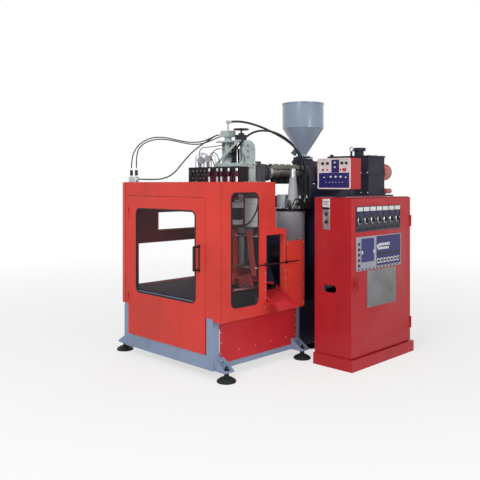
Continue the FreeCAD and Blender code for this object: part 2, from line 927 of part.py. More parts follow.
def discharge_guard():
    """The guard round the bottle outlet, with its deep jamb, side strips and rail."""
    inner = PANEL_X - SHEET
    floor = d.cabin_floor
    front = d.guard_front
    shoulder = d.guard_shoulder - SHEET
    outline = [
        (front, floor), (d.guard_rear, floor), (d.guard_rear, d.guard_shoulder - d.guard_slope),
        (d.right_panel_depth, shoulder), (front, shoulder),
    ]
    pieces = [
        plate("YZ", [("polygon", outline), rectangle(*OUTLET)], inner, PANEL_X),
        frame_of("YZ", *OUTLET, SHEET, inner - d.outlet_jamb, inner),
        block((0, front, floor), (inner, d.guard_rear, floor + SHEET)),
    ]
    for start in (front, OUTLET[1][0]):
        end = start + d.outlet_front_margin - 8
        pieces.append(block((PANEL_X, start, floor + 60), (PANEL_X + 8, end, d.rail_height)))
        middle = (start + end) / 2
        bracket_low = (PANEL_X, middle - 10, d.rail_height - 14)
        pieces.append(block(bracket_low, (PANEL_X + 32, middle + 10, d.rail_height + 14)))
    rail = (PANEL_X + 20, d.rail_front, d.rail_height)
    pieces.append(rod(rail, "Y", d.rail_rear - d.rail_front, d.rail_radius))
    subpart("discharge_guard", fuse(*pieces))


def rear_guard():
    """The panel behind the discharge guard, returned to the base at its foot and rear edge."""
    inner = PANEL_X - SHEET
    floor = d.cabin_floor
    front = d.guard_rear + d.rear_guard_gap
    rear = SKIRT_REAR
    top = d.rear_guard_top
    pieces = [
        block((inner, front, floor), (PANEL_X, rear, top)),
        block((0, front, floor), (inner, rear, floor + SHEET)),
        block((SHEET, rear - SHEET, floor), (inner, rear, top)),
        block((inner - d.jamb_depth, front, top - SHEET), (inner, rear, top)),
        block((inner - d.jamb_depth, d.guard_rear, floor), (inner, front + SHEET, floor + SHEET)),
    ]
    subpart("rear_guard", fuse(*pieces))


def discharge_chute():
    """The sloping tray that bottles slide down, with its cross rod and two round knobs."""
    slope = math.tan(math.radians(d.chute_slope.value))
    left = PANEL_X - d.chute_inside
    right = PANEL_X + d.chute_reach
    high = d.chute_crossing + d.chute_inside * slope
    low = d.chute_crossing - d.chute_reach * slope
    wall = d.chute_wall
    side = [(left, high - wall), (right, low - wall), (right, low), (left, high)]
    left_floor = high - wall
    right_floor = low - wall
    floor = [(left, left_floor), (right, right_floor), (right, right_floor + SHEET),
             (left, left_floor + SHEET)]
    front = OUTLET[0][0]
    rear = OUTLET[1][0]
    pieces = [
        plate("XZ", [("polygon", side)], front, front + SHEET),
        plate("XZ", [("polygon", side)], rear - SHEET, rear),
        plate("XZ", [("polygon", floor)], front, rear),
    ]
    rod_x = PANEL_X + d.chute_reach / 3
    rod_z = d.chute_crossing - d.chute_reach / 3 * slope - wall
    knob = 16
    pieces.append(rod((rod_x, front - 30, rod_z), "Y", rear - front + 60, 8))
    for y in (front - 30 - knob, rear + 30):
        pieces.append(rod((rod_x, y, rod_z), "Y", knob, 20))
    subpart("discharge_chute", fuse(*pieces))


# ---------------------------------------------------------------- safety door


def door_edges():
    """Left, right, bottom and top of the door leaf."""
    gap = d.door_gap
    return HINGE_X + gap, -d.door_right - gap, d.door_bottom + gap, DOOR_TOP - gap


def safety_door():
    """The door leaf: a folded pan with a large window, and the leaf's halves of the hinges."""
    left, right, bottom, top = door_edges()
    face = -d.door_proud
    window = ("rounded", *DOOR_WINDOW, d.window_corner)
    pieces = [
        plate("XZ", [rectangle((left, bottom), (right, top)), window], face, face + SHEET),
        frame_of("XZ", (left + SHEET, bottom + SHEET), (right - SHEET, top - SHEET), SHEET,
                 face + SHEET, face + d.door_depth),
    ]
    for height in hinge_heights():
        start = height - d.hinge_length
        end = height - d.seat_gap
        pieces.append(rod((HINGE_X, HINGE_Y, start), "Z", end - start, d.hinge_radius))
        pieces.append(block((HINGE_X, HINGE_Y, start), (HINGE_X + d.hinge_radius * 2, face, end)))
    subpart("safety_door", fuse(*pieces))


def door_pane():
    """The clear pane behind the door's window."""
    lap = d.pane_lap
    start = SHEET - d.door_proud
    low = (DOOR_WINDOW[0][0] - lap, DOOR_WINDOW[0][1] - lap)
    high = (DOOR_WINDOW[1][0] + lap, DOOR_WINDOW[1][1] + lap)
    subpart("door_pane", plate("XZ", [rectangle(low, high)], start, start + d.pane))


def door_handle():
    """A pull handle of bent round bar on two pads."""
    x = -d.door_right - d.handle_from_edge
    face = -d.door_proud
    out = face - d.handle_reach + d.handle_bar_radius
    bar = d.handle_bar_radius
    low = d.handle_centre - d.handle_height / 2
    high = d.handle_centre + d.handle_height / 2
    corner = bar * 2
    pieces = [rod((x, out, low + corner), "Z", high - low - corner * 2, bar)]
    for height, sign in ((low, 1), (high, -1)):
        stem = height + corner * sign
        bend = document.addObject("Part::Sphere", "Bend")
        bind(bend, "Radius", bar)
        pieces.append(place(bend, (x, out, stem)))
        pieces.append(rod((x, out, stem), "Y", face - out, bar))
        pieces.append(rod((x, face - bar / 2, stem), "Y", bar / 2, bar * 1.7))
    subpart("door_handle", fuse(*pieces))


# ---------------------------------------------------------------- carriage and clamp


def carriage_rails():
    """Two round slide rails held off the bed by a foot at each end."""
    height = BED + d.slide_rail_lift
    front = RAIL_FRONT
    rear = RAIL_REAR
    foot = d.rail_foot
    pieces = []
    for side in (-1, 1):
        x = AXIS_X + d.rail_spread * side
        rail = rod((x, front, height), "Y", rear - front, d.slide_rail_radius)
        ends = []
        for start in (front, rear - foot):
            ends.append(block((x - foot, start, BED), (x + foot, start + foot, height + foot)))
        pieces.append(fuse(rail, *ends))
    subpart("carriage_rails", group(*pieces))


def shuttle_cylinder():
    """The cylinder on the bed that moves the carriage, with its rod bore."""
    z = BED + d.slide_rail_lift
    start = LUG_REAR + d.shuttle_gap
    length = d.shuttle_stroke + d.shuttle_spare
    body = rod((AXIS_X, start, z), "Y", length, d.slide_rail_lift * 0.7)
    foot = d.shuttle_foot
    half = foot * 1.6
    feet = []
    for y in (start + foot, RAIL_REAR - foot):
        feet.append(block((AXIS_X - half, y, BED), (AXIS_X + half, y + foot, z)))
    bore = rod((AXIS_X, start, z), "Y", length - d.shuttle_end, d.shuttle_rod_radius + d.running_gap)
    subpart("shuttle_cylinder", cut(fuse(body, *feet), bore))


def clamp_frame():
    """The red carriage: bearing blocks, base plate, two end plates and their gussets."""
    z_rail = BED + d.slide_rail_lift
    plate_low = CARRIAGE_LOW
    plate_high = CARRIAGE_HIGH
    front = CARRIAGE_FRONT
    rear = CARRIAGE_REAR
    reach = d.end_plate_distance + d.end_plate
    outer = reach + d.gusset_reach
    end_plate_top = PLATEN_TOP + d.end_plate_head
    pieces = [block((AXIS_X - outer, front, plate_low), (AXIS_X + outer, rear, plate_high))]
    cuts = []
    for side in (-1, 1):
        x = AXIS_X + d.rail_spread * side
        half = d.bearing_width / 2
        for start in (front, rear - d.bearing_length):
            low = (x - half, start, plate_low - d.bearing_height)
            pieces.append(block(low, (x + half, start + d.bearing_length, plate_low)))
        cuts.append(rod((x, front, z_rail), "Y", rear - front, d.slide_rail_radius + d.running_gap))
        inner = d.end_plate_distance * side
        start_x = AXIS_X + (inner if side > 0 else inner - d.end_plate)
        half_depth = d.end_plate_depth / 2
        low = (start_x, DIE_Y - half_depth, plate_high)
        pieces.append(block(low, (start_x + d.end_plate, DIE_Y + half_depth, end_plate_top)))
        edge = AXIS_X + reach * side
        tip = AXIS_X + outer * side
        corners = [(edge, plate_high), (tip, plate_high), (edge, plate_high + d.gusset_rise)]
        if side < 0:
            corners.reverse()
        for y in (DIE_Y - half_depth, DIE_Y + half_depth - d.gusset_plate):
            pieces.append(plate("XZ", [("polygon", corners)], y, y + d.gusset_plate))
        hole = (start_x, DIE_Y, CLAMP_Z)
        cuts.append(rod(hole, "X", d.end_plate, d.clamp_rod_radius + d.running_gap))
    half_lug = d.shuttle_lug / 2
    lug = (AXIS_X - half_lug, LUG_REAR - d.carriage_plate, z_rail - half_lug)
    pieces.append(block(lug, (AXIS_X + half_lug, LUG_REAR, plate_high)))
    pieces.append(block((AXIS_X - half_lug, LUG_REAR, plate_low), (AXIS_X + half_lug, front, plate_high)))
    rod_length = d.shuttle_stroke + d.shuttle_gap * 2
    pieces.append(rod((AXIS_X, LUG_REAR, z_rail), "Y", rod_length, d.shuttle_rod_radius))
    subpart("clamp_frame", cut(fuse(*pieces), *cuts))


def tie_bar_places():
    """The four tie bars' places across the clamp."""
    heights = (PLATEN_LOW + d.tie_bar_inset, PLATEN_TOP - d.tie_bar_inset)
    return [(DIE_Y + d.tie_bar_spread * side, z) for side in (-1, 1) for z in heights]


def tie_bars():
    """Four bars between the end plates that the platens slide on."""
    start = AXIS_X - d.end_plate_distance
    length = d.end_plate_distance * 2
    bars = [rod((start, y, z), "X", length, d.tie_bar_radius) for y, z in tie_bar_places()]
    subpart("tie_bars", group(*bars))


def clamp_cylinders():
    """The two closing cylinders on the outer faces of the end plates."""
    cylinders = []
    length = d.clamp_cylinder_length
    wall = 15
    for side in (-1, 1):
        outer = AXIS_X + (d.end_plate_distance + d.end_plate) * side
        start = outer if side > 0 else outer - length
        bore_start = start if side > 0 else start + wall
        body = rod((start, DIE_Y, CLAMP_Z), "X", length, d.clamp_cylinder_radius)
        bore = rod((bore_start, DIE_Y, CLAMP_Z), "X", length - wall,
                   d.clamp_rod_radius + d.running_gap)
        cylinders.append(cut(body, bore))
    subpart("clamp_cylinders", group(*cylinders))


def platen(side):
    """A platen with its closing rod, open: side is -1 on the left and 1 on the right."""
    inner = AXIS_X + (d.mould_opening + d.mould_half) * side
    start = inner if side > 0 else inner - d.platen
    half = d.end_plate_depth / 2
    body = block((start, DIE_Y - half, PLATEN_LOW),
                 (start + d.platen, DIE_Y + half, PLATEN_TOP))
    rod_start = start + d.platen if side > 0 else start - d.clamp_rod_length
    push = rod((rod_start, DIE_Y, CLAMP_Z), "X", d.clamp_rod_length, d.clamp_rod_radius)
    holes = [rod((start, y, z), "X", d.platen, d.tie_bar_radius + d.running_gap)
             for y, z in tie_bar_places()]
    return cut(fuse(body, push), *holes)


def mould(side):
    """One half of the bottle mould, with its half of the bottle's cavity."""
    face = AXIS_X + d.mould_opening * side
    start = face if side > 0 else face - d.mould_half
    half = d.mould_width / 2
    body = block((start, DIE_Y - half, MOULD_LOW),
                 (start + d.mould_half, DIE_Y + half, MOULD_TOP))
    radius = d.bottle_radius
    foot = radius * 0.25
    low = MOULD_LOW + d.bottle_lift
    shoulder = low + d.bottle_shoulder_rise
    outline = [
        (0, low + foot / 2), (radius - foot * 2, low), (radius - foot / 2, low + foot / 3),
        (radius, low + foot), (radius, shoulder), (radius * 0.8, shoulder + foot * 2),
        (d.neck_radius, low + d.bottle_neck_rise), (d.neck_radius, MOULD_TOP), (0, MOULD_TOP),
    ]
    cavity = turned(outline, (face, DIE_Y, 0))
    return cut(body, cavity)


# ---------------------------------------------------------------- blow unit


def blow_frame():
    """The deck on the roof that carries the blow cylinder, its side plate and the wheel's bridge."""
    left = AXIS_X - d.blow_left
    right = AXIS_X + d.blow_right
    front = BLOW_Y - d.blow_front
    rear = BLOW_Y + d.blow_rear
    deck = DECK
    thick = d.blow_plate
    hole = ("circle", (AXIS_X, BLOW_Y), d.pin_rod_radius + 2)
    outline = rectangle((left, front), (right, rear))
    pieces = [
        plate("XY", [outline, hole], d.cabin_top, d.cabin_top + thick),
        plate("XY", [outline, hole], deck, deck + thick),
    ]
    inset = d.blow_column_radius + 5
    for x in (left + inset, (left + right) / 2, right - inset):
        for y in (front + inset, rear - inset):
            start = d.cabin_top + thick
            pieces.append(rod((x, y, start), "Z", deck - start, d.blow_column_radius))
    plate_x = right - thick - 20
    rounding = d.side_plate_round
    round_y = rear - rounding
    plate_top = DECK_TOP + d.side_plate_height
    pieces += [
        block((plate_x, BLOW_Y, DECK_TOP), (plate_x + thick, round_y, plate_top)),
        block((plate_x, round_y, d.cabin_top + thick), (plate_x + thick, rear, plate_top - rounding)),
        rod((plate_x, round_y, plate_top - rounding), "X", thick, rounding),
    ]
    wheel_x = AXIS_X + d.wheel_offset_x
    wheel_y = BLOW_Y + d.wheel_offset_y
    bridge = BRIDGE
    guides = (AXIS_X - d.guide_spread, AXIS_X + d.guide_spread)
    bridge_low = (guides[0] - d.guide_radius - 5, front, bridge)
    pieces.append(block(bridge_low, (plate_x, wheel_y + 30, bridge + thick)))
    for x in guides:
        pieces.append(rod((x, BLOW_Y, DECK_TOP), "Z", bridge - DECK_TOP, d.guide_radius))
    foot = left + 10
    head = plate_x - 50
    width = d.brace_width
    brace = [(foot, DECK_TOP), (foot + width, DECK_TOP), (head + width, bridge), (head, bridge)]
    brace_y = BLOW_Y - d.brace_front
    pieces.append(plate("XZ", [("polygon", brace)], brace_y, brace_y + 10))
    holes = [
        rod((wheel_x, wheel_y, bridge), "Z", thick, d.wheel_shaft + d.running_gap),
        rod((AXIS_X, BLOW_Y, bridge), "Z", thick, d.blow_cylinder_radius + d.seat_gap),
    ]
    for share in (0.25, 0.5, 0.75):
        hole_z = DECK_TOP + d.side_plate_height * share
        holes.append(rod((plate_x, BLOW_Y + 25, hole_z), "X", thick, d.side_hole_radius))
    subpart("blow_frame", cut(fuse(*pieces), *holes))


def blow_cylinder():
    """The blow pin's cylinder with its square cap, riser pipe and hose elbow."""
    bottom = DECK_TOP
    top = CYLINDER_TOP
    half = d.blow_cap / 2
    elbow = d.blow_elbow * 8 / 15
    x = AXIS_X
    y = BLOW_Y
    pieces = [
        rod((x, y, bottom), "Z", top - bottom, d.blow_cylinder_radius),
        rod((x, y, bottom), "Z", d.blow_plate, d.blow_cylinder_radius + 14),
        block((x - half, y - half, top), (x + half, y + half, CAP_TOP)),
        rod((x, y, CAP_TOP), "Z", PIPE_TOP - CAP_TOP, d.blow_pipe_radius),
        block((x - elbow, y - elbow, PIPE_TOP), (x + elbow, y + elbow, PIPE_TOP + d.blow_elbow)),
    ]
    port_z = bottom + d.blow_port_rise
    port = d.blow_port_half
    port_low = (x + port - 6, y - d.blow_port_reach, port_z - port)
    pieces.append(block(port_low, (x + port * 3 - 6, y - d.blow_cylinder_radius / 2, port_z + port)))
    bore_length = PIN_ROD_TOP + d.pin_rod_radius * 2 - bottom
    bore = rod((x, y, bottom), "Z", bore_length, d.pin_rod_radius + d.running_gap)
    subpart("blow_cylinder", cut(fuse(*pieces), bore))


def blow_pin():
    """The pin that enters the mould's neck, its holder and its piston rod."""
    tip = PIN_TIP
    shoulder = tip + d.pin_length
    holder_top = shoulder + d.pin_holder_length
    pin = d.pin_radius
    holder = d.pin_holder_radius
    shaft = d.pin_rod_radius
    outline = [
        (0, tip), (pin * 0.5, tip), (pin, tip + pin), (pin, shoulder), (holder, shoulder),
        (holder, holder_top), (shaft, holder_top), (shaft, PIN_ROD_TOP), (0, PIN_ROD_TOP),
    ]
    subpart("blow_pin", turned(outline, (AXIS_X, BLOW_Y, 0)))


def handwheel():
    """The wheel that sets the pin's lowest point: rim, three spokes, hub and shaft."""
    x = AXIS_X + d.wheel_offset_x
    y = BLOW_Y + d.wheel_offset_y
    z = WHEEL_Z
    rim = d.wheel_rim
    bridge_top = BRIDGE + d.blow_plate
    middle = d.wheel_radius - rim
    flat = rim * 0.5
    outline = [
        (middle - rim, -flat), (middle - flat, -rim), (middle + flat, -rim), (middle + rim, -flat),
        (middle + rim, flat), (middle + flat, rim), (middle - flat, rim), (middle - rim, flat),
    ]
    pieces = [
        turned(outline, (x, y, z)),
        rod((x, y, z - 14), "Z", 26, 18),
        rod((x, y, bridge_top + d.seat_gap), "Z", 50, 28),
        rod((x, y, BRIDGE - 30), "Z", z - BRIDGE + 30, d.wheel_shaft),
    ]
    for number in range(3):
        spoke = rod((x, y, z), "X", d.wheel_radius - rim, rim * 0.7)
        turn = FreeCAD.Rotation(FreeCAD.Vector(0, 0, 1), 90 + 120 * number)
        spoke.Placement = FreeCAD.Placement(spoke.Placement.Base, turn * TURNS["X"])
        pieces.append(spoke)
    subpart("handwheel", fuse(*pieces))


def blow_manifold():
    """The dark valve block in front of the blow unit, with its ports and air regulator."""
    left = -d.manifold_left
    right = -d.manifold_right
    front = MANIFOLD_FRONT
    height = d.manifold_height
    low = d.cabin_top
    top = low + height
    pieces = [block((left, front, low), (right, MANIFOLD_REAR, top))]
    count = 6
    pitch = (right - left) / count
    for number in range(count):
        x = left + pitch * (number + 0.5)
        for share, port in ((0.55, height / 9), (0.2, height / 15)):
            start = front - port
            pieces.append(rod((x, start, low + height * share), "Y", port, port))
    middle = (front + MANIFOLD_REAR) / 2
    for offset, rise, radius in ((0.1, 0.74, 0.18), (0.2, 0.56, 0.14)):
        foot = (left + (right - left) * offset, middle, top)
        pieces.append(rod(foot, "Z", height * rise, height * radius))
        pieces.append(rod(foot, "Z", height * (rise + 0.16), height * radius / 2))
    subpart("blow_manifold", fuse(*pieces))


# ---------------------------------------------------------------- extruder


def die_head():
    """The parison head: body, waist, die ring with its annular slot, and the barrel flange."""
    low = DIE_LOW
    die = d.die_radius
    core = d.die_core_radius
    slot = core + d.die_slot
    waist = d.head_waist_radius
    outline = [
        (0, low - 3), (core, low - 3), (core, low + 40), (slot, low + 40), (slot, low),
        (die, low), (die + 6, low + 20), (die + 6, low + 70), (waist, low + 90), (waist, HEAD_WAIST),
        (d.head_radius, HEAD_WAIST + 20), (d.head_radius, HEAD_TOP), (waist, HEAD_TOP + 18),
        (waist * 0.6, HEAD_TOP + 18), (waist * 0.6, HEAD_TOP + 45), (0, HEAD_TOP + 45),
    ]
    body = turned(outline, (AXIS_X, DIE_Y, 0))
    start = DIE_Y + d.head_radius * 0.5
    end = barrel_start()
    neck = rod((AXIS_X, start, BARREL_Z), "Y", end - start - d.flange, d.flange_radius * 0.8)
    flange = rod((AXIS_X, end - d.flange, BARREL_Z), "Y", d.flange, d.flange_radius)
    subpart("die_head", fuse(body, neck, flange))


def barrel_start():
    """Where the barrel's flange meets the die head's."""
    return DIE_Y + d.head_radius + d.flange * 1.4


def barrel():
    """The extruder barrel, with its front flange and screw bore."""
    start = barrel_start()
    body = rod((AXIS_X, start, BARREL_Z), "Y", FEED_FRONT - start, d.barrel_radius)
    flange = rod((AXIS_X, start, BARREL_Z), "Y", d.flange, d.flange_radius)
    bore = rod((AXIS_X, start, BARREL_Z), "Y", FEED_FRONT - start,
               d.screw_radius + d.running_gap)
    subpart("barrel", cut(fuse(body, flange), bore))


def heater_bands():
    """Clamped heater bands along the barrel and round the die head."""
    gap = d.seat_gap
    first = barrel_start() + d.flange + 8
    room = FEED_FRONT - 6 - first
    pitch = room / d.band_count
    bands = []
    for number in range(int(d.band_count.value)):
        start = first + pitch * number
        outer = d.barrel_radius + d.band
        band = tube((AXIS_X, start, BARREL_Z), "Y", d.band_length, outer, d.barrel_radius + gap)
        box_low = (AXIS_X - 16, start + 14, BARREL_Z + outer - 4)
        lid = block(box_low, (AXIS_X + 16, start + d.band_length - 14, BARREL_Z + outer + 16))
        bands.append(fuse(band, lid))
    waist_low = DIE_LOW + 100
    for low, length, radius in (
        (waist_low, HEAD_WAIST - 12 - waist_low, d.head_waist_radius),
        (HEAD_WAIST + 40, d.band_length * 1.8, d.head_radius),
    ):
        bands.append(tube((AXIS_X, DIE_Y, low), "Z", length, radius + d.band, radius + gap))
    subpart("heater_bands", group(*bands))


def screw():
    """The extruder screw's root, with a pointed tip and a drive spline at the rear."""
    start = barrel_start() + d.flange
    tip = cone((AXIS_X, start - d.screw_radius, BARREL_Z), "Y", d.screw_radius, 2, d.screw_radius)
    root = rod((AXIS_X, start, BARREL_Z), "Y", THRUST_REAR - 20 - start, d.screw_radius)
    subpart("screw", fuse(tip, root))


def gearbox():
    """One bolted casting line: feed block, thrust housing, coupling guard and split reducer."""
    axis = BARREL_Z
    front = FEED_FRONT
    rear = FEED_REAR
    half = d.feed_half_width
    pieces = [
        block((AXIS_X - half, front, FEED_LOW), (AXIS_X + half, rear, FEED_TOP)),
        rod((AXIS_X, rear, axis), "Y", THRUST_REAR - rear, d.thrust_radius),
        rod((AXIS_X, THRUST_REAR, axis), "Y", REDUCER_FRONT - THRUST_REAR, d.coupling_radius),
        rod((AXIS_X, THRUST_REAR, axis), "Y", 30, d.coupling_radius + 22),
        rod((AXIS_X, REDUCER_FRONT - 30, axis), "Y", 30, d.coupling_radius + 22),
    ]
    wide = d.reducer_half_width
    low = PLATFORM
    lip = 14
    pieces.append(block((AXIS_X - wide, REDUCER_FRONT, low), (AXIS_X + wide, REDUCER_REAR, REDUCER_TOP)))
    for height, thick in ((low, 24), (BARREL_Z - d.reducer_split_drop - 16, 32), (REDUCER_TOP - 20, 20)):
        corner = (AXIS_X - wide - lip, REDUCER_FRONT - lip, height)
        pieces.append(block(corner, (AXIS_X + wide + lip, REDUCER_REAR, height + thick)))
    top = REDUCER_TOP
    lift_y = REDUCER_FRONT + 70
    pieces.append(rod((AXIS_X, lift_y, top), "Z", 60, 14))
    pieces.append(rod((AXIS_X, REDUCER_FRONT + 240, top), "Z", 70, 60))
    pieces.append(rod((AXIS_X, REDUCER_FRONT + 240, top + 70), "Z", 40, 85))
    pieces.append(rod((AXIS_X, THRUST_REAR + 190, axis + d.coupling_radius - 10), "Z", 90, 22))
    bore = rod((AXIS_X, front, axis), "Y", THRUST_REAR - 15 - front, d.screw_radius + d.running_gap)
    throat = rod((AXIS_X, HOPPER_Y, axis), "Z", FEED_TOP - axis, d.throat_radius)
    body = cut(fuse(*pieces), bore, throat)
    subpart("gearbox", body)


def drive_motor():
    """The drive motor on the reducer's rear face, and the small oil pump below it."""
    x = -d.motor_side
    z = BARREL_Z + d.motor_lift
    rear = REDUCER_REAR
    body = rod((x, rear, z), "Y", d.motor_length * 0.8, d.motor_radius)
    cap = cone((x, rear + d.motor_length * 0.8, z), "Y", d.motor_length * 0.2,
               d.motor_radius, d.motor_radius * 0.75)
    mount = rod((x, rear, z), "Y", 16, d.motor_radius + 12)
    pump = rod((-d.motor_side / 2, rear, PLATFORM + 45), "Y", 120, 34)
    subpart("drive_motor", group(fuse(body, cap, mount), pump))


def hopper():
    """The material hopper on its square gate block."""
    low = FEED_TOP
    block_top = low + d.gate_block
    half = d.throat_radius * 2
    wall = d.hopper_wall
    throat = d.throat_radius
    top = HOPPER_TOP
    cone_top = HOPPER_CONE_TOP
    wide = d.hopper_radius
    base_top = block_top + 12
    outline = [
        (throat, block_top), (throat * 2, block_top), (throat * 2, base_top), (throat + wall, base_top),
        (throat + wall, base_top + 20), (wide, cone_top), (wide, top - 12), (wide + 8, top - 12),
        (wide + 8, top), (wide - wall, top), (wide - wall, cone_top + wall / 2), (throat, base_top + 20),
    ]
    shell = turned(outline, (AXIS_X, HOPPER_Y, 0))
    y = HOPPER_Y
    gate_low = low + (d.gate_block - d.gate_plate) / 2 - d.seat_gap
    gate_high = gate_low + d.gate_plate + d.seat_gap * 2
    base = block((AXIS_X - half, y - half, low), (AXIS_X + half, y + half, block_top))
    bore = rod((AXIS_X, y, low), "Z", d.gate_block, throat)
    slot = block((AXIS_X - throat - 15, y - throat - 10, gate_low),
                 (AXIS_X + half, y + throat + 10, gate_high))
    subpart("hopper", fuse(shell, cut(base, bore, slot)))


def hopper_gate():
    """The slide that closes the hopper's throat, with its pull knob."""
    low = FEED_TOP + (d.gate_block - d.gate_plate) / 2
    y = HOPPER_Y
    throat = d.throat_radius
    half = throat * 2
    gap = d.seat_gap
    end = AXIS_X + half + 30
    plate_body = block((AXIS_X - throat - 15 + gap, y - throat - 10 + gap, low),
                       (end, y + throat + 10 - gap, low + d.gate_plate))
    knob = rod((end, y, low + d.gate_plate / 2), "X", 30, 9)
    subpart("hopper_gate", fuse(plate_body, knob))


def extruder_base():
    """The welded base under the extruder: a tall box, a low step for the column, and pedestals."""
    left = -d.extruder_base_width
    front = d.base_depth + SHEET * 2
    tall = EXTRUDER_FRONT
    rear = tall + d.extruder_length
    low = d.base_clearance
    top = PLATFORM
    step = d.step_height
    wall = d.base_wall
    outline = [(front, low), (rear, low), (rear, top), (tall, top), (tall, step), (front, step)]
    inside = [
        (front + wall, low), (rear - wall, low), (rear - wall, top - wall * 2), (tall + wall, top - wall * 2),
        (tall + wall, step - wall * 2), (front + wall, step - wall * 2),
    ]
    shell = cut(plate("YZ", [("polygon", outline)], left, 0),
                plate("YZ", [("polygon", inside)], left + wall, -wall))
    cross = []
    for y in (EXTRUDER_FRONT, rear - d.foot_inset - d.foot_reach):
        cross.append(block((left + wall / 2, y - 45, low), (-wall / 2, y + 45, low + wall * 2)))
    saddle = FEED_FRONT + 15
    half = d.feed_half_width - 20
    thrust_low = BARREL_Z - d.thrust_radius - 10
    pedestals = [
        block((AXIS_X - half, saddle, top), (AXIS_X + half, FEED_REAR - 15, FEED_LOW)),
        block((AXIS_X - half, saddle, top), (AXIS_X + half, THRUST_REAR - 15, thrust_low)),
    ]
    subpart("extruder_base", fuse(shell, *pedestals, *cross))


# ---------------------------------------------------------------- hydraulic column


def accumulator_column():
    """The round tank between the cabin and the cabinet."""
    radius = d.column_radius
    wall = d.column_wall
    low = d.step_height
    top = d.column_top
    outline = [
        (radius - wall, low), (radius, low), (radius, top), (0, top), (0, top - wall * 2),
        (radius - wall, top - wall * 2),
    ]
    subpart("accumulator_column", turned(outline, (COLUMN_X, COLUMN_Y, 0)))


def valve_manifold():
    """The flange on the column with its valve block, gathered conduits and hose ports."""
    x = COLUMN_X
    y = COLUMN_Y
    low = VALVE_LOW
    unit = d.column_radius / 16
    conduit = (x + unit * 6.5, y - unit * 3, low)
    pieces = [
        rod((x, y, d.column_top), "Z", d.column_flange, d.column_radius + d.column_flange_reach),
        rod((x - unit * 6, y - unit * 6, low), "Z", unit * 15, unit * 6),
        cone(conduit, "Z", unit * 43, unit * 6.2, unit * 3),
        rod(conduit, "Z", unit * 9, unit * 7.8),
        block((x + unit * 11, y - unit * 6, low), (x + unit * 21.5, y + unit * 9, low + unit * 7)),
    ]
    for port_x, port_y, port_z in hose_ports():
        pieces.append(rod((port_x, port_y, low + unit * 7), "Z", port_z - low - unit * 7, unit * 2))
    subpart("valve_manifold", fuse(*pieces))


def hose_ports():
    """The mouths of the two hose ports on the valve manifold."""
    unit = d.column_radius / 16
    z = VALVE_LOW + unit * 11
    return (
        (COLUMN_X + unit * 18.7, COLUMN_Y + unit * 4.1, z),
        (COLUMN_X + unit * 15.7, COLUMN_Y - unit * 2.9, z),
    )


# ---------------------------------------------------------------- control cabinet


def control_cabinet():
    """The cabinet on its plinth, with the side switch plate, oval cable hole and floor duct."""
    left = d.cabinet_left
    right = d.cabinet_right
    front = d.cabinet_front
    rear = d.cabinet_rear
    step = d.plinth_step
    base = d.plinth_height
    top = d.cabinet_top
    wall = d.cabinet_wall
    door = d.cabinet_door
    body_low = (left, front + step, base)
    body_high = (right - step - door, rear - step, top)
    inside = block((left + wall, front + step + wall, base + wall),
                   (right - step - door, rear - step - wall, top - wall))
    rim = wall * 2
    plinth = cut(block((left, front, 0), (right, rear, base)),
                 block((left + rim, front + rim, 0), (right - rim, rear - rim, base - wall)))
    oval_z = d.oval_height
    oval_half = d.oval_radius
    oval_left = left + d.oval_inset
    oval_right = oval_left + d.oval_pitch
    oval = [
        rod((oval_left, front + step, oval_z), "Y", wall, oval_half),
        rod((oval_right, front + step, oval_z), "Y", wall, oval_half),
        block((oval_left, front + step, oval_z - oval_half),
              (oval_right, front + step + wall, oval_z + oval_half)),
    ]
    pieces = [cut(block(body_low, body_high), inside, *oval), plinth]
    face = front + step
    plate_x = left + d.switch_plate_inset
    plate_low = (plate_x, face - d.switch_plate, d.switch_plate_bottom)
    pieces.append(block(plate_low, (plate_x + d.switch_plate_width, face, d.switch_plate_top)))
    backing = left + d.mounting_plate_gap
    pieces.append(block((backing, face + wall, base + 60), (backing + SHEET, rear - step - wall, top - 60)))
    for y in (front + 200, rear - 230):
        pieces.append(block((left + wall, y, base + 60), (backing, y + 30, top - 60)))
    duct = (d.seat_gap, EXTRUDER_FRONT + d.duct_inset, base + 20)
    pieces.append(block(duct, (left, duct[1] + d.duct_width, duct[2] + d.duct_height)))
    for height in cabinet_hinge_heights():
        start = height + d.seat_gap
        axis_x, axis_y = cabinet_hinge()
        pieces.append(rod((axis_x, axis_y, start), "Z", d.hinge_length, d.hinge_radius))
        pieces.append(block((right - step - door - 30, rear - step, start),
                            (axis_x, rear - step + 3, start + d.hinge_length)))
        pieces.append(block((axis_x - 3, axis_y, start), (axis_x, rear - step + 3, start + d.hinge_length)))
    subpart("control_cabinet", fuse(*pieces))


def cabinet_hinge():
    """The cabinet door's hinge line, outside its rear edge."""
    return CABINET_DOOR_X + d.hinge_radius + 1, d.cabinet_rear - d.plinth_step - d.hinge_radius / 2


def cabinet_hinge_heights():
    """Where the halves of each cabinet hinge meet."""
    return (d.plinth_height + d.cabinet_hinge_low, d.cabinet_top - d.cabinet_hinge_high)


